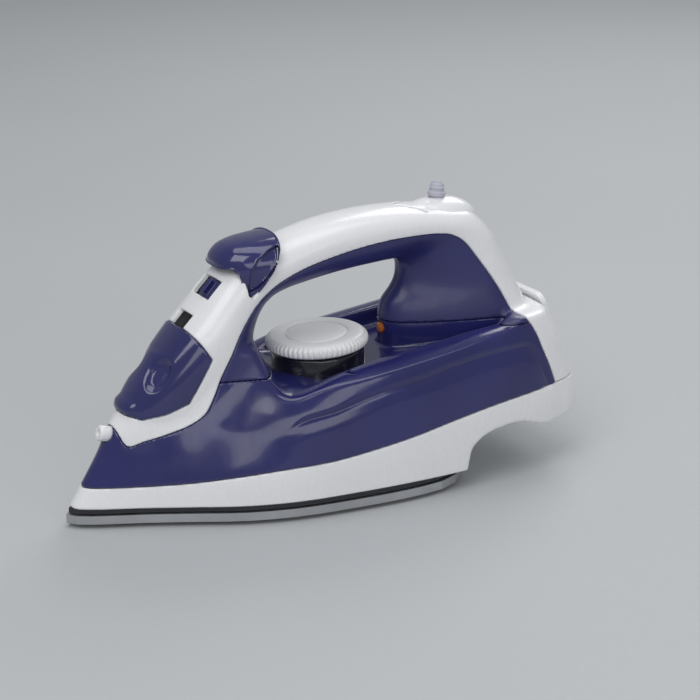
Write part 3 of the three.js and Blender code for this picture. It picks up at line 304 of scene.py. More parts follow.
class Surface:
    """A dense skin of points and faces that mouldings are trimmed from."""

    def __init__(self, points, faces):
        self.points = np.asarray(points, float)
        self.faces = np.array([f if len(f) == 4 else [*f, f[-1]] for f in faces])

    @classmethod
    def of_mesh(cls, mesh):
        points = np.empty(len(mesh.vertices) * 3)
        mesh.vertices.foreach_get("co", points)
        points = points.reshape(-1, 3) / MM
        points[:, 0] += NOSE
        return cls(points, [list(p.vertices) for p in mesh.polygons])

    def normals(self):
        p, f = self.points, self.faces
        across = np.cross(p[f[:, 2]] - p[f[:, 0]], p[f[:, 3]] - p[f[:, 1]])
        out = np.zeros_like(p)
        for k in range(4):
            for axis in range(3):
                out[:, axis] += np.bincount(f[:, k], across[:, axis], len(p))
        return out / np.maximum(np.linalg.norm(out, axis=1), 1e-9)[:, None]

    def relax(self, times, weight=1.0):
        """Evens out the skin, by the weight given for each point."""
        f, count = self.faces, len(self.points)
        a = np.concatenate([f[:, k] for k in range(4)])
        b = np.concatenate([f[:, (k + 1) % 4] for k in range(4)])
        keep = a != b
        a, b = a[keep], b[keep]
        near = np.maximum(np.bincount(a, minlength=count), 1)
        weight = np.broadcast_to(weight, (count,))[:, None] * RELAX_STEP
        for _ in range(times):
            mean = np.stack([np.bincount(a, self.points[b, k], count) for k in range(3)], 1) / near[:, None]
            self.points += (mean - self.points) * weight
        return self

    def pushed(self, distance):
        """A copy moved outwards by a distance, or by one for each point."""
        distance = np.broadcast_to(distance, (len(self.points),))
        return Surface(self.points + self.normals() * distance[:, None], self.faces)


def trimmed(surface, field):
    """The part of a skin where the field is below 0, cut cleanly where it is 0."""
    inside = field < 0
    faces = surface.faces[inside[surface.faces].any(1)]
    used = np.unique(faces)
    number = np.full(len(surface.points), -1)
    number[used] = np.arange(len(used))
    value = field[used].tolist()
    mesh = bpy.data.meshes.new("trim")
    faces = [list(dict.fromkeys(f)) for f in number[faces].tolist()]
    mesh.from_pydata(surface.points[used].tolist(), [], faces)
    bm = bmesh.new()
    bm.from_mesh(mesh)
    bpy.data.meshes.remove(mesh)
    bm.verts.ensure_lookup_table()
    crossing = []
    for edge in bm.edges:
        a, b = (v.index for v in edge.verts)
        if value[a] * value[b] < 0:
            crossing.append((edge, edge.verts[0], value[a] / (value[a] - value[b])))
    on_line = [bmesh.utils.edge_split(edge, vert, part)[1] for edge, vert, part in crossing]
    outside = [v for v in bm.verts if 0 <= v.index < len(value) and value[v.index] > 0]
    split = set(on_line)
    outside = [v for v in outside if v not in split]
    bmesh.ops.connect_verts(bm, verts=on_line)
    bmesh.ops.delete(bm, geom=outside, context="VERTS")
    return bm


def moulding(name, surface, field_of, wall=WALL, roll=ROLL):
    """A thin shell with rounded edges, trimmed from a skin."""
    bm = trimmed(surface, field_of(surface.points))
    bm.normal_update()
    bm.verts.ensure_lookup_table()
    points = np.array([v.co for v in bm.verts])
    normals = np.array([v.normal for v in bm.verts])
    depth = np.clip(field_of(points) + roll, 0, roll)
    points -= normals * (roll - np.sqrt(np.maximum(roll**2 - depth**2, 0)))[:, None]
    count = len(points)
    inner = points - normals * wall
    bm.verts.index_update()
    faces = [[v.index for v in f.verts] for f in bm.faces]
    open_loops = [e.link_loops[0] for e in bm.edges if e.is_boundary]
    rim = [[loop.vert.index, loop.link_loop_next.vert.index] for loop in open_loops]
    bm.free()
    faces += [[v + count for v in reversed(f)] for f in faces]
    faces += [[b, a, a + count, b + count] for a, b in rim]
    return as_object(name, np.vstack([points, inner]), faces)


# ---------------------------------------------------------------- outlines, as in the CAD model
SKIRT_TOP = [[-6, 19.4], [8, 20.4], [18, 20.9], [37, 21.4], [60, 23], [84, 26.2], [104, 28.3], [133, 30],
             [158, 33], [180, 36.2], [205, 40.6], [231, 44.2], [260, 46.8], [276, 48.2], [309, 50]]
UNDERSIDE = [[214, 8], [215, 15], [217.5, 23], [226.8, 28.6], [239, 30.8], [250, 30.8], [258.5, 28.4],
             [267, 26], [278, 26.6], [290, 28.6], [308, 37]]
SHELL_EDGE = [[20, 58], [26.5, 54], [32, 42.5], [40, 44.8], [52, 48.4], [63, 52.4], [71, 57.4], [76.4, 65.4],
              [81.2, 75], [88, 86.5], [96.5, 100.5], [105.5, 110.8], [116, 118.4], [131, 125], [151, 130],
              [171, 133.4], [191, 135], [212, 134.8], [223, 133.2], [231, 128.6], [238, 120], [250, 102.5],
              [257, 89], [263, 79], [267, 69], [271, 60], [275.5, 48.2]]
DOOR_EDGE = [[22, 64], [29, 60.4], [34, 58], [40, 56.2], [52, 59], [63.5, 63.8], [70, 74.6], [76.6, 86],
             [71.4, 94.2], [66.8, 100.6], [55, 107]]
NOTCH_EDGE = [[58, 99], [68.5, 97], [74.5, 104.5], [71.5, 109], [60, 112]]
HEAD_EDGE = [[66, 124], [84, 127], [90, 130.4], [95, 130.2], [97.2, 127.6], [98.8, 122], [99.8, 116],
             [102.4, 114.2], [107, 119], [113.4, 128], [119, 137], [121.6, 142], [123, 152], [66, 156]]
PETAL_EDGE = [[101.4, 118.6], [101.6, 124], [102.6, 130], [106.4, 134], [112, 136.6], [118.4, 138.4],
              [116.4, 133.8], [111.2, 127], [105.6, 120.8]]
# The side panel's edge is drawn here only, not in the CAD model.
PANEL_EDGE = [[104, 46], [116, 53], [135.5, 56.7], [150.6, 61], [162, 63.6], [187, 67], [206, 70.4],
              [228, 72.8], [248, 73.2], [256, 72.6], [261, 68.5], [265.5, 60], [270.5, 49.7]]
LEVELS = [
    [4, [[0.5, 0], [2.5, 5], [11, 10.5], [34, 20.3], [58, 31.8], [84, 44.4], [111, 52.2], [145, 55.6],
         [190, 56.8], [236, 53.5], [274, 47], [292.5, 38], [297, 0]]],
    [10.3, [[4, 0], [6, 5], [14, 10.5], [36, 20.6], [58, 31.6], [84, 44.2], [111, 52.2], [145, 55.8],
            [190, 57], [236, 53.8], [274, 47], [292.5, 38], [297.5, 0]]],
    [25, [[13, 0], [15, 4.8], [22, 10.5], [42, 21], [62, 31.5], [86, 43.8], [112, 51.8], [146, 56],
          [190, 57.2], [237, 54], [276, 47.5], [294.5, 39], [299, 0]]],
    [38, [[21, 0], [23, 5.4], [30, 11.2], [48, 20.5], [66, 29.6], [88, 41], [113, 50.4], [147, 55.3],
          [190, 56.9], [238, 54], [277, 48], [294.5, 39.5], [299, 0]]],
    [48, [[25.6, 0], [27.6, 6], [33.5, 11.6], [49, 18.8], [66, 26], [88, 37], [113, 48.6], [147, 54.3],
          [190, 56.1], [238, 53.6], [276, 47.5], [292, 39], [296.5, 0]]],
    [56, [[31, 0], [33, 6.6], [39, 12.4], [51.5, 18], [67, 23.6], [88, 32.4], [113, 45.6], [147, 53],
          [190, 55.2], [238, 53], [275, 46.8], [289.5, 38.2], [294, 0]]],
    [64, [[36, 0], [38, 7], [43.5, 13], [55, 18.6], [70, 23], [88, 28.2], [113, 40.5], [147, 51.4], [190, 54],
          [238, 52], [273.5, 45.8], [287, 37], [291, 0]]],
    [72, [[41, 0], [43, 7.4], [48.5, 13.6], [59, 19], [73, 22.6], [89, 25.6], [113, 33.5], [147, 48.8],
          [190, 52.4], [237, 50.8], [271.5, 44.6], [284.5, 35.6], [288.5, 0]]],
    [80, [[47, 0], [49, 7.6], [54.5, 13.8], [64.5, 19.2], [77, 22.4], [91, 24.4], [113, 28.5], [147, 45],
          [190, 50.4], [236, 49.2], [269, 43], [281, 34], [285, 0]]],
    [88, [[53.2, 0], [55.2, 7.8], [60.5, 14], [70, 19.2], [81.5, 22.2], [93, 23.4], [113, 25.5], [147, 40],
          [190, 47.8], [235, 47.2], [266, 41], [277.5, 32], [281, 0]]],
]
CREST = [[70, 50], [93, 52.5], [107, 57.5], [125, 62.8], [140, 67.4], [156, 70.8], [188, 75], [204, 77],
         [230, 80.2], [262, 81.8], [303, 83]]
# Handle sections: outer point, inner point, half-width at the outer side and at the inner side.
HANDLE = [
    [33, 46, 104, 34, 15, 22], [33.5, 60, 107, 50, 20, 24], [42.5, 74, 107, 66, 22.4, 24],
    [53, 86, 107, 79, 23.4, 23.6], [63.6, 97.6, 107.6, 89, 23.6, 22.6], [74, 108.4, 109.6, 98, 22.6, 21.4],
    [83.4, 118.8, 113.4, 105.4, 21.2, 20.4], [92, 127, 119.4, 110.4, 20, 19.4],
    [102, 132.4, 127.6, 113.2, 19.4, 18.6], [114, 136.2, 139, 115.2, 19.2, 18],
    [130, 141.6, 152, 117, 19.2, 17.6], [150, 146.4, 165, 118.4, 19.6, 17.6],
    [173, 149, 178, 119.4, 20, 17.6], [197, 149.2, 190, 120, 20.6, 17], [224, 146.6, 197.4, 119.6, 21.8, 15],
    [241.6, 143, 200.4, 116.4, 23, 13.6], [253, 133.4, 200.6, 111.4, 24.6, 12.8],
    [260.6, 121.2, 199.4, 106.4, 26.6, 12.6], [268, 107, 196, 101, 29.4, 13.4],
    [274.4, 94.6, 191.4, 95.6, 32.4, 15.4], [280.6, 83, 189.8, 89, 34.6, 17.6], [286, 70, 190, 76, 35, 19],
    [288, 60, 191, 64, 35, 19],
]
HEAD = [
    [91, 127.6, 106, 106, 11, 15], [90.4, 133.6, 112, 108, 15, 18], [95, 138, 119, 110, 18.6, 19],
    [103, 140.4, 128, 112, 20.6, 19], [113, 141.6, 138, 114, 21, 18.6], [122, 142.2, 146, 116, 20.6, 18],
    [128, 142.2, 151, 117, 20, 17.6],
]
SOLE_HALF = [[0, 0], [3, 5], [12, 10.8], [35, 20.8], [58, 32], [84, 45], [111, 53], [140, 56.5], [178, 58],
             [203, 54.5], [219, 43], [227, 24], [230, 0]]


# ---------------------------------------------------------------- the whole outer form
def mirrored(half):
    return half + [[s, -y] for s, y in half[-2:0:-1]]


def lower_body():
    """The body below the deck: level outlines joined by smooth curves."""
    columns = np.array([[[s, y, z] for s, y in mirrored(half)] for z, half in LEVELS])
    heights = np.linspace(0, 1, 64)
    rows = np.stack([catmull(columns[:, k], heights) for k in range(columns.shape[1])], 1)
    around = np.linspace(0, 1, 260, endpoint=False)
    return tube([catmull(row, around, closed=True) for row in rows])


def deck_height(s, y):
    side = np.abs(y)
    crest = np.array(CREST, float)
    along = catmull(crest, np.linspace(0, 1, 200))
    height = np.interp(s, along[:, 0], along[:, 1])
    band = 3.6 * ramp((51 - side) / 15) + 1.4 * ramp((56 - side) / 10) * ramp((side - 36) / 8)
    well = 9 * ramp((36 - side) / 5) * ramp((s - 122) / 30) * ramp((262 - s) / 14)
    near = np.hypot(s - 84, side * 0.72)
    leg_root = 60 * np.clip(1 - (near - 16) / 30, 0, 1.3) ** 2.4
    far = np.hypot(np.maximum(0, 266 - s), np.maximum(0, side - 20) * 0.7)
    column_root = 24 * np.maximum(0, 1 - far / 28) ** 1.6
    return height + band - well + leg_root + column_root


def above_deck():
    """Everything over the deck, as a body."""
    s, y = np.meshgrid(np.linspace(78, 306, 180), np.linspace(-66, 66, 120), indexing="ij")
    low = np.minimum(deck_height(s, y), 150)
    n, m = s.shape
    high = np.full_like(low, 190)
    points = np.vstack([np.stack([s, y, z], -1).reshape(-1, 3) for z in (low, high)])
    i, k = np.meshgrid(np.arange(n - 1), np.arange(m - 1), indexing="ij")
    quads = np.stack([i * m + k, i * m + k + 1, (i + 1) * m + k + 1, (i + 1) * m + k], -1).reshape(-1, 4)
    border = [k for k in range(m)] + [i * m + m - 1 for i in range(1, n)]
    border += [(n - 1) * m + k for k in range(m - 2, -1, -1)] + [i * m for i in range(n - 2, 0, -1)]
    faces = quads.tolist() + (quads[:, ::-1] + n * m).tolist()
    faces += [[a, b, b + n * m, a + n * m] for a, b in zip(border, border[1:] + border[:1])]
    return points, faces


def handle_form(sections, steps=170, sides=72):
    """A body through the handle's cross-sections."""
    rows = np.array(sections, float)
    t = np.linspace(0, 1, steps)
    flat = [catmull(np.insert(rows[:, a : a + 2], 2, 0, axis=1), t) for a in (0, 2, 4)]
    outer, inner, half = [f[:, :2] for f in flat]
    a = np.linspace(0, 2 * math.pi, sides, endpoint=False)
    c, d = np.cos(a), np.sin(a)
    f = (1 - np.sign(c) * np.abs(c) ** 0.86) / 2
    breadth = half[:, :1] + (half[:, 1:] - half[:, :1]) * ramp(f)[None]
    y = breadth * (np.sign(d) * np.abs(d) ** 0.82)[None]
    place = outer[:, None] + (inner - outer)[:, None] * f[None, :, None]
    return tube(np.stack([place[..., 0], y, place[..., 1]], -1))


def side_distance(points, outline):
    """Distance in the side view to an outline, below 0 inside it."""
    p = points[:, [0, 2]]
    q = np.asarray(outline, float)
    best = np.full(len(p), 1e9)
    inside = np.zeros(len(p), bool)
    for a, b in zip(q, np.roll(q, -1, axis=0)):
        edge = b - a
        part = np.clip(((p - a) @ edge) / max(edge @ edge, 1e-9), 0, 1)
        best = np.minimum(best, np.linalg.norm(p - a - part[:, None] * edge, axis=1))
        spans = (a[1] > p[:, 1]) != (b[1] > p[:, 1])
        rise = edge[1] if abs(edge[1]) > 1e-9 else 1e-9
        inside ^= spans & (p[:, 0] < a[0] + (p[:, 1] - a[1]) * edge[0] / rise)
    return np.where(inside, -best, best)


def line_distance(points, line):
    """Distance in the side view to an open line, and the height over it."""
    p = points[:, [0, 2]]
    q = np.asarray(line, float)
    best = np.full(len(p), 1e9)
    over = np.zeros(len(p))
    for a, b in zip(q[:-1], q[1:]):
        edge = b - a
        part = np.clip(((p - a) @ edge) / (edge @ edge), 0, 1)
        gone = p - a - part[:, None] * edge
        reach = np.linalg.norm(gone, axis=1)
        nearer = reach < best
        over = np.where(nearer, (edge[0] * gone[:, 1] - edge[1] * gone[:, 0]) / np.linalg.norm(edge), over)
        best = np.minimum(best, reach)
    return best, over


def smooth_line(points, per_span=8):
    return catmull(points, np.linspace(0, 1, per_span * (len(points) - 1) + 1))


SKIRT_LINE = smooth_line(SKIRT_TOP)
SHELL_LINE = smooth_line(SHELL_EDGE, 4)
SKIRT_REGION = np.vstack([SKIRT_LINE, [[BEHIND, BELOW], [AHEAD, BELOW]]])
SHELL_REGION = np.vstack([
    [[AHEAD, 58]], SHELL_LINE, [[275.5, BELOW], [BEHIND, BELOW], [BEHIND, ABOVE], [AHEAD, ABOVE]]
])


def outer_form():
    body = cut(as_object("lower", *lower_body()), as_object("deck", *above_deck()), "DIFFERENCE")
    body = cut(body, as_object("handle", *handle_form(HANDLE)), "UNION")
    heel = np.vstack([
        [[AHEAD, BELOW], [214, BELOW]], smooth_line(UNDERSIDE),
        [[BEHIND, 37], [BEHIND, ABOVE], [AHEAD, ABOVE]]
    ])
    body = cut(body, as_object("heel", *prism(heel, 90)), "INTERSECT")
    face_out(body.data)
    body.data.remesh_voxel_size = VOXEL * MM
    step = body.modifiers.new("even", "REMESH")
    step.mode = "VOXEL"
    step.voxel_size = VOXEL * MM
    mesh = applied(body)
    skin = Surface.of_mesh(mesh)
    bpy.data.meshes.remove(mesh)
    skin.relax(RELAX_ALL)
    s, y, z = skin.points.T
    # The handle's roots run into the deck in a soft hollow.
    root = ramp((130 - s) / 14) * ramp((s - 84) / 8) * ramp((z - 46) / 6) * ramp((104 - z) / 10)
    column = ramp((s - 180) / 6) * ramp((z - 78) / 4) * ramp((112 - z) / 10) * ramp((56 - np.abs(y)) / 8)
    skin.relax(RELAX_ROOTS, np.maximum(root, column * 0.8))
    return skin


def with_side_panel(skin):
    """Sinks the tank's side panel under its crease, and scores the column's seam."""
    p = skin.points
    line = smooth_line(PANEL_EDGE, 6)
    reach, over = line_distance(p, line)
    side = ramp((np.abs(p[:, 1]) - 24) / 10) * ramp((p[:, 0] - 106) / 16)
    panel = PANEL_SINK * ramp(0.5 - over / 1.6)
    groove = CREASE_DEPTH * np.exp(-((reach / CREASE_WIDTH) ** 2))
    near = ramp((9 - reach) / 8)
    tank = side_distance(p, SKIRT_REGION) > -2
    sink = np.where(tank, (panel * near + groove) * side, 0)
    column = (p[:, 0] > 180) & (p[:, 2] > 86) & (p[:, 2] < 112) & (np.abs(p[:, 1]) < 6)
    front = skin.normals()[:, 0] < -0.5
    sink = sink + np.where(column & front, SCORE_DEPTH * np.exp(-((p[:, 1] / SCORE_WIDTH) ** 2)), 0)
    return skin.pushed(-sink)


# ---------------------------------------------------------------- fields: below 0 where a piece is
SLOPE = np.array([0.695, 0, 0.718]) / math.hypot(0.695, 0.718)
SLOPE_OUT = np.array([-SLOPE[2], 0, SLOPE[0]])
LEVER_TOP = np.array([84.2, 0, 119.6])
SLOT_HALF = (5.9, 9.5, 20)
NOZZLE_ROOT = np.array([33, 0, 45.2])
NOZZLE_AXIS = np.array([-0.966, 0, 0.259])
GLAND_ROOT = np.array([225, 0, 150.6])
GLAND_AXIS = np.array([0.08, 0, 1]) / math.hypot(0.08, 1)
COVER_FOOT = np.array([300.2, 0, 47])
COVER_HEAD = np.array([283.2, 0, 92])
COVER_UP = (COVER_HEAD - COVER_FOOT) / np.linalg.norm(COVER_HEAD - COVER_FOOT)
COVER_OUT = np.array([COVER_UP[2], 0, -COVER_UP[0]])
COVER_DEEP = 3.4


def over_seam(p):
    return p[:, 2] - np.where(p[:, 0] < 150, SEAM_FRONT, SEAM_REAR)


def slot_field(p):
    gone = p - LEVER_TOP
    local = [np.abs(gone @ SLOPE), np.abs(gone[:, 1]), np.abs(gone @ SLOPE_OUT)]
    return np.max([v - half for v, half in zip(local, SLOT_HALF)], axis=0)


def nozzle_field(p):
    gone = p - NOZZLE_ROOT
    along = gone @ NOZZLE_AXIS
    return np.maximum(np.linalg.norm(gone - along[:, None] * NOZZLE_AXIS, axis=1) - NOZZLE_CLEAR, -9 - along)


def gland_field(p):
    gone = p - GLAND_ROOT
    along = gone @ GLAND_AXIS
    return np.maximum(np.linalg.norm(gone - along[:, None] * GLAND_AXIS, axis=1) - GLAND_CLEAR, -30 - along)


def cover_field(p):
    gone = p - (COVER_FOOT + COVER_HEAD) / 2
    half = np.array([np.linalg.norm(COVER_HEAD - COVER_FOOT) / 2, COVER_HALF]) + SEAM - COVER_CORNER
    out = np.stack([np.abs(gone @ COVER_UP) - half[0], np.abs(gone[:, 1]) - half[1]], 1)
    flat = np.linalg.norm(np.maximum(out, 0), axis=1) + np.minimum(out.max(1), 0) - COVER_CORNER
    return np.maximum(flat, -COVER_DEEP - gone @ COVER_OUT)


def slit(p):
    """The narrow slit in the handle ahead of the cord's collar, on both sides."""
    place = np.column_stack([p[:, 0], np.abs(p[:, 1])])
    part = np.clip(((place - SLIT_START) @ SLIT_RUN) / (SLIT_RUN @ SLIT_RUN), 0, 1)
    gone = np.linalg.norm(place - SLIT_START - part[:, None] * SLIT_RUN, axis=1)
    return np.where(p[:, 2] > SLIT_ABOVE, SLIT_HALF - gone, -SLIT_HALF)


def shell_field(p):
    notch = np.maximum(side_distance(p, NOTCH_EDGE), np.abs(p[:, 1]) - NOTCH_HALF)
    return np.max([
        side_distance(p, SHELL_REGION) + SEAM / 2,
        SEAM - side_distance(p, SKIRT_REGION),
        SEAM - side_distance(p, DOOR_EDGE),
        -notch,
        -slot_field(p),
        -nozzle_field(p),
        SEAM - side_distance(p, PETAL_EDGE),
        -cover_field(p),
        -gland_field(p),
        -side_distance(p, HEAD_EDGE) - UNDER_HEAD,
        slit(p),
    ], axis=0)


def grip_field(p):
    return np.maximum(SEAM / 2 - side_distance(p, SHELL_REGION), SEAM / 2 - over_seam(p))


def tank_field(p):
    round_lamp = np.hypot(p[:, 1], p[:, 2] - LAMP_HEIGHT) - LAMP_RADIUS
    lamp = np.maximum(round_lamp, np.maximum(p[:, 0] - LAMP_SPAN[1], LAMP_SPAN[0] - p[:, 0]))
    return np.max([
        SEAM / 2 - side_distance(p, SHELL_REGION),
        SEAM - side_distance(p, SKIRT_REGION),
        SEAM / 2 + over_seam(p),
        -nozzle_field(p),
        -lamp,
    ], axis=0)


def skirt_field(p):
    return np.maximum(side_distance(p, SKIRT_REGION), SKIRT_FLOOR - p[:, 2])


def door_field(p):
    return side_distance(p, DOOR_EDGE)


def head_field(p):
    return np.maximum(side_distance(p, HEAD_EDGE), PETAL_SEAM - side_distance(p, PETAL_EDGE))


def petal_field(side):
    return lambda p: np.maximum(side_distance(p, PETAL_EDGE), PETAL_INNER - side * p[:, 1])


# ---------------------------------------------------------------- finishes
def pattern(tree, scale, stretch=(1, 1, 1), detail=2.0):
    """A noise over the object's own coordinates, from 0 to 1."""
    place = tree.nodes.new("ShaderNodeTexCoord")
    mapping = tree.nodes.new("ShaderNodeMapping")
    mapping.inputs["Scale"].default_value = stretch
    texture = tree.nodes.new("ShaderNodeTexNoise")
    texture.inputs["Scale"].default_value = scale
    texture.inputs["Detail"].default_value = detail
    tree.links.new(place.outputs["Object"], mapping.inputs["Vector"])
    tree.links.new(mapping.outputs["Vector"], texture.inputs["Vector"])
    return texture.outputs["Fac"]


def spread(tree, source, low, high, start=0.3, end=0.7):
    step = tree.nodes.new("ShaderNodeMapRange")
    for name, value in (("From Min", start), ("From Max", end), ("To Min", low), ("To Max", high)):
        step.inputs[name].default_value = value
    tree.links.new(source, step.inputs["Value"])
    return step.outputs["Result"]


MIX_FACTOR, MIX_A, MIX_B, MIX_RESULT = 0, 6, 7, 2  # a colour Mix node's sockets
# painted shade: the darker grey mixed into a piece's colour along its edges, for the shade in its seams
SEAM_SHADE_TONE = 0.42


def finish(name, colour, rough, vary=0.08, patch=45, wear=0.06, grain=0.0, grain_scale=2600,
           stretch=(1, 1, 1), metal=0.0, coat=0.0, through=0.0, seam_shade_strength=0.35):
    """A moulded or metal surface: soft colour variation, uneven gloss, fine grain, and painted shade
    darkening it towards its edges in the seams.
    """
    material = bpy.data.materials.new(name)
    material.use_nodes = True
    tree = material.node_tree
    shader = tree.nodes["Principled BSDF"]
    shader.inputs["Metallic"].default_value = metal
    shader.inputs["Coat Weight"].default_value = coat
    shader.inputs["Coat Roughness"].default_value = 0.06
    shader.inputs["Transmission Weight"].default_value = through
    blotch = pattern(tree, patch, stretch)
    shades = tree.nodes.new("ShaderNodeMix")
    shades.data_type = "RGBA"
    shades.inputs[MIX_A].default_value = (*[c * (1 - vary) for c in colour], 1)
    shades.inputs[MIX_B].default_value = (*[min(1, c * (1 + vary)) for c in colour], 1)
    tree.links.new(spread(tree, blotch, 0, 1), shades.inputs[MIX_FACTOR])
    # painted shade in the seams: each piece darkens towards its own edge, by an amount varied with a noise
    seam = tree.nodes.new("ShaderNodeAttribute")
    seam.attribute_name = "seam"
    seam_shade_weight = tree.nodes.new("ShaderNodeMath")
    seam_shade_weight.operation = "MULTIPLY"
    tree.links.new(seam.outputs["Fac"], seam_shade_weight.inputs[0])
    tree.links.new(spread(tree, pattern(tree, 260), 0.2 * seam_shade_strength, seam_shade_strength), seam_shade_weight.inputs[1])
    seam_shaded = tree.nodes.new("ShaderNodeMix")
    seam_shaded.data_type = "RGBA"
    grey = sum(colour) / 3
    seam_shaded.inputs[MIX_B].default_value = (*[SEAM_SHADE_TONE * (c + grey) for c in colour], 1)
    tree.links.new(seam_shade_weight.outputs[0], seam_shaded.inputs[MIX_FACTOR])
    tree.links.new(shades.outputs[MIX_RESULT], seam_shaded.inputs[MIX_A])
    tree.links.new(seam_shaded.outputs[MIX_RESULT], shader.inputs["Base Color"])
    scuffs = pattern(tree, 190, (1, 1, 0.35) if stretch == (1, 1, 1) else stretch, 4)
    tree.links.new(spread(tree, scuffs, rough - wear / 2, rough + wear), shader.inputs["Roughness"])
    if grain:
        bump = tree.nodes.new("ShaderNodeBump")
        bump.inputs["Strength"].default_value = grain
        bump.inputs["Distance"].default_value = 0.0001
        tree.links.new(pattern(tree, grain_scale, stretch, 3), bump.inputs["Height"])
        tree.links.new(bump.outputs["Normal"], shader.inputs["Normal"])
    return material


BRUSHED = (1, 14, 1)
FINISHES = {
    "white_shell": finish("white_shell", (0.84, 0.845, 0.87), 0.27, vary=0.01, wear=0.012, coat=0.2,
                          grain=0.02),
    "white_dial": finish("white_dial", (0.82, 0.82, 0.84), 0.32, vary=0.015, grain=0.1),
    "navy_tank": finish("navy_tank", (0.02, 0.021, 0.12), 0.16, vary=0.14, patch=22, coat=0.35, grain=0.03),
    "navy_gloss": finish("navy_gloss", (0.02, 0.021, 0.115), 0.13, vary=0.12, patch=30, coat=0.5),
    "navy_grip": finish("navy_grip", (0.024, 0.025, 0.125), 0.34, vary=0.1, coat=0.1, grain=0.35,
                        grain_scale=1900),
    "black_insulator": finish("black_insulator", (0.01, 0.01, 0.018), 0.16, coat=0.4, grain=0.1),
    "sole_metal": finish("sole_metal", (0.33, 0.33, 0.37), 0.24, metal=1, stretch=BRUSHED, patch=70,
                         grain=0.12),
    "cast_alloy": finish("cast_alloy", (0.5, 0.51, 0.53), 0.46, metal=1, grain=0.7, grain_scale=900),
    "sheath_metal": finish("sheath_metal", (0.24, 0.22, 0.21), 0.4, vary=0.25, metal=1, grain=0.2),
    "spring_steel": finish("spring_steel", (0.52, 0.52, 0.55), 0.28, metal=1, grain=0.1),
    "brass_seat": finish("brass_seat", (0.62, 0.43, 0.16), 0.3, metal=1, stretch=(1, 1, 12), grain=0.1),
    "cream_plastic": finish("cream_plastic", (0.6, 0.56, 0.46), 0.5, grain=0.3),
    "hose": finish("hose", (0.5, 0.49, 0.45), 0.42, through=0.15),
    "grey_rubber": finish("grey_rubber", (0.5, 0.5, 0.58), 0.55, grain=0.5, grain_scale=1600),
    "wire_blue": finish("wire_blue", (0.02, 0.06, 0.3), 0.5),
    "wire_brown": finish("wire_brown", (0.09, 0.035, 0.015), 0.5),
    "wire_green": finish("wire_green", (0.12, 0.25, 0.03), 0.5),
    "amber_lens": finish("amber_lens", (0.75, 0.24, 0.05), 0.12, coat=0.5, through=0.5),
}


def dressed(thing, slot):
    thing.data.materials.clear()
    thing.data.materials.append(FINISHES[slot])
    return thing


def dress_kept_nodes():
    """The CAD pieces that stay get their finish, and rounded edges."""
    slots = {entry["node"]: entry["material_slot"] for entry in frame["record"]["subparts"]}
    for node, thing in frame["nodes"].items():
        if node in slots:
            for place in thing.material_slots:
                place.material = FINISHES[slots[node]]
        weld = thing.modifiers.new("weld", "WELD")
        weld.merge_threshold = WELD_REACH
        bevel = thing.modifiers.new("edges", "BEVEL")
        bevel.width = EDGE_ROUND * MM
        bevel.segments = 2
        bevel.limit_method = "ANGLE"
        bevel.angle_limit = EDGE_FROM


# ---------------------------------------------------------------- the pieces
def seam_shade(thing, field_of, reach=1.2):
    """Marks how near each point of a piece is to its own edge, where the finish paints shade into the seam.
    """
    mesh = thing.data
    points = np.empty(len(mesh.vertices) * 3)
    mesh.vertices.foreach_get("co", points)
    points = points.reshape(-1, 3) / MM
    points[:, 0] += NOSE
    near = ramp(1 + field_of(points) / reach)
    mark = mesh.attributes.new("seam", "FLOAT", "POINT")
    mark.data.foreach_set("value", near.astype(np.float32))


def shaped(name, skin, field_of, body, slot, *nodes, **how):
    thing = moulding(name, skin, field_of, **how)
    seam_shade(thing, field_of)
    return dressed(finished(thing, body, *nodes), slot)


def spun(name, profile, around, origin, axis, body, slot, *nodes, wave=None):
    points, faces = lathe(profile, around, wave)
    thing = as_object(name, turned_to(points, origin, axis), faces)
    face_out(thing.data)
    return dressed(finished(thing, body, *nodes), slot)


def door_rise(p):
    """How far the door stands over the outer form: a finger pull on either side, a bead over its pin."""
    near = (p[:, 0] < 90) & (p[:, 2] > 48)
    gone = np.column_stack([p[:, 0], np.abs(p[:, 1]), p[:, 2]]) - SCOOP
    local = np.column_stack([gone @ SCOOP_UP, gone @ np.cross(SCOOP_UP, SCOOP_OUT)]) / SCOOP_REACH
    scoop = SCOOP_DEPTH * ramp((1 - np.linalg.norm(local, axis=1)) / 0.5) * (gone @ SCOOP_OUT > SCOOP_BACK)
    off_hinge = np.hypot(p[:, 0] - HINGE[0], p[:, 2] - HINGE[1])
    barrel = BARREL_RISE * ramp(1.15 - off_hinge / BARREL_REACH) * ramp((BARREL_HALF - np.abs(p[:, 1])) / 4)
    return np.where(near, DOOR_PROUD - scoop + barrel, 0)


def build_mouldings():
    skin = with_side_panel(outer_form())
    shaped("shell", skin, shell_field, "iron", "white_shell", "handle_shell")
    shaped("grip", skin, grip_field, "iron", "navy_grip", "grip", wall=2.2)
    shaped("tank", skin, tank_field, "iron", "navy_tank", "water_tank")
    shaped("skirt", skin, skirt_field, "iron", "white_shell", "lower_skirt")
    door = skin.pushed(door_rise(skin.points))
    shaped("fill_flap", door, door_field, "fill_door", "navy_gloss", "fill_door", wall=1.5)


def build_head():
    form = Surface(*handle_form(HEAD, 120, 220))
    shaped("head", form, head_field, "iron", "navy_gloss", "button_housing", wall=2)
    raised = form.pushed(PETAL_PROUD)
    for side, body in ((-1, "spray_button"), (1, "steam_button")):
        shaped(body + "_cap", raised, petal_field(side), body, "navy_gloss", body, wall=1.4, roll=0.9)


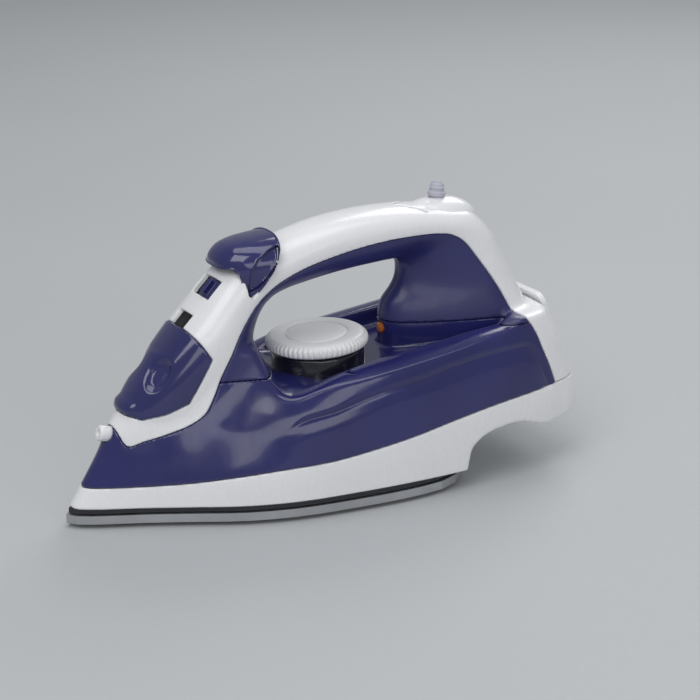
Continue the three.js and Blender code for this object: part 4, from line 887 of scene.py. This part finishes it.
def build_dial():
    tilt = np.array([-math.sin(DIAL_TILT), 0, math.cos(DIAL_TILT)])
    foot = np.array(DIAL_TOP, float) - tilt * DIAL_THICKNESS
    profile = [[2, 0], [25.4, 0], [26.6, 0.25], [27.35, 0.9, 0.4], [27.65, 1.7, 1], [27.65, 4.2, 1],
               [27.1, 5.2, 0.7], [26.1, 6.2, 0.3], [25.1, 6.8], [24.2, 7], [18.5, 7], [17.9, 6.85],
               [17.5, 5.9], [16.8, 5.9], [16.4, 6.85], [15.8, 7], [9, 7.04], [2, 7.05]]
    spun("dial", profile, 720, foot, tilt, "dial", "white_dial", "thermostat_dial",
         wave=lambda a: RIB_HEIGHT * np.cos(DIAL_RIBS * a))
    base = [[20, -16], [BASE_RADIUS, -16], [BASE_RADIUS, -2.2], [BASE_RADIUS - 0.5, -1.2],
            [BASE_RADIUS - 1.4, -0.6], [20, -0.5]]
    spun("dial_ring", base, 160, foot, tilt, "iron", "black_insulator", "dial_base")


def build_fittings():
    nozzle = [[0.9, 2], [2.8, 0], [2.8, 2.8], [3.9, 3], [4.2, 3.4], [4.2, 11.2], [4.05, 11.9], [3.5, 12.5],
              [2.6, 12.6], [1.8, 12.4], [1.5, 11.6], [0.9, 11.2], [0.7, 8]]
    spun("nozzle", nozzle, 64, NOZZLE_ROOT, NOZZLE_AXIS, "iron", "white_shell", "spray_nozzle")
    pin = [[0.3, -7.2], [0.8, -7], [1, -6.6], [1, 6.6], [0.8, 7], [0.3, 7.2]]
    spun("door_pin", pin, 32, (HINGE[0], 0, HINGE[1]), (0, 1, 0), "iron", "spring_steel", "fill_door_pin")
    gland = [[2.6, 2], [3, -9.6], [4, -9.8], [4, 0], [4.9, 0.7], [5, 1.2], [4.9, 2.5], [4, 3.2], [3.85, 4.4],
             [4.3, 4.7], [4.3, 5.2], [3.8, 5.5], [3.6, 6.9], [3.35, 7.6], [2.95, 7.95], [2.7, 7.7], [2.5, 7],
             [2.4, 3]]
    spun("cord_outlet", gland, 64, GLAND_ROOT, GLAND_AXIS, "iron", "grey_rubber", "cord_gland")


def build_collar():
    start = math.acos(COLLAR_HOLE / COLLAR_REACH[0])
    rise = np.concatenate([[start], np.linspace(start - 0.01, 0, 26)])
    turn = np.linspace(0, 2 * math.pi, 120, endpoint=False)
    rings = []
    for step, r in enumerate(rise):
        deep = 1.5 if step == 0 else 0
        share = 1 - ramp(step / 8)
        across = COLLAR_REACH[1] * (1 - share) * math.cos(r) + share * COLLAR_HOLE
        s = COLLAR_MIDDLE[0] + COLLAR_REACH[0] * math.cos(r) * np.cos(turn)
        z = np.full(len(turn), COLLAR_MIDDLE[2] + COLLAR_REACH[2] * math.sin(r) - deep)
        rings.append(np.stack([s, across * np.sin(turn), z], 1))
    rings.append(rings[-1] - [0, 0, 6])
    points, faces = tube(rings)
    thing = as_object("collar", points, faces)
    face_out(thing.data)
    dressed(finished(thing, "iron", "cord_collar"), "white_shell")


def build_soleplate():
    half = smooth_line(SOLE_HALF, 10)
    outline = np.vstack([half, half[-2:0:-1] * [1, -1]])
    middle = outline.mean(0)
    away = outline - np.roll(outline, 1, 0) + np.roll(outline, -1, 0) - outline
    out = np.stack([-away[:, 1], away[:, 0]], 1)
    out /= np.maximum(np.linalg.norm(out, axis=1), 1e-9)[:, None]
    out *= np.sign(np.sum(out * (outline - middle), axis=1))[:, None]
    steps = [[-8, 0], [-1.6, 0], [-0.7, 0.25], [-0.15, 0.8], [0, 1.5], [0, 5.6], [-0.2, 6.3], [-0.7, 6.7],
             [-1.3, 6.8], [-8, 6.8]]
    rings = [np.column_stack([outline + out * grow, np.full(len(outline), z)]) for grow, z in steps]
    plate = as_object("plate", *tube(rings))
    points, faces = [], []
    for s, y in STEAM_HOLES + [[s, -y] for s, y in STEAM_HOLES if y]:
        hole, hole_faces = lathe([[HOLE_RADIUS + 0.5, -0.2], [HOLE_RADIUS + 0.5, -0.01], [HOLE_RADIUS, 0.5],
                                  [HOLE_RADIUS, HOLE_DEPTH]], 32)
        faces += [[v + len(points) for v in face] for face in hole_faces]
        points += (hole + [s, y, 0]).tolist()
    thing = cut(plate, as_object("holes", points, faces), "DIFFERENCE")
    thing.name = thing.data.name = "sole"
    dressed(finished(thing, "iron", "soleplate"), "sole_metal")


def build_floor():
    mesh = bpy.data.meshes.new("floor")
    corners = [(-1, -1), (1, -1), (1, 1), (-1, 1)]
    places = [(x * FLOOR_REACH, y * FLOOR_REACH, -FLOOR_DROP) for x, y in corners]
    mesh.from_pydata(places, [], [(0, 1, 2, 3)])
    floor = bpy.data.objects.new("floor", mesh)
    bpy.context.collection.objects.link(floor)
    mesh.materials.append(finish("floor_paint", (0.5, 0.515, 0.53), 0.6, vary=0.012, patch=3, grain=0.1))


add_camera()
add_studio()
build_mouldings()
build_head()
build_dial()
build_fittings()
build_collar()
build_soleplate()
dress_kept_nodes()
build_floor()
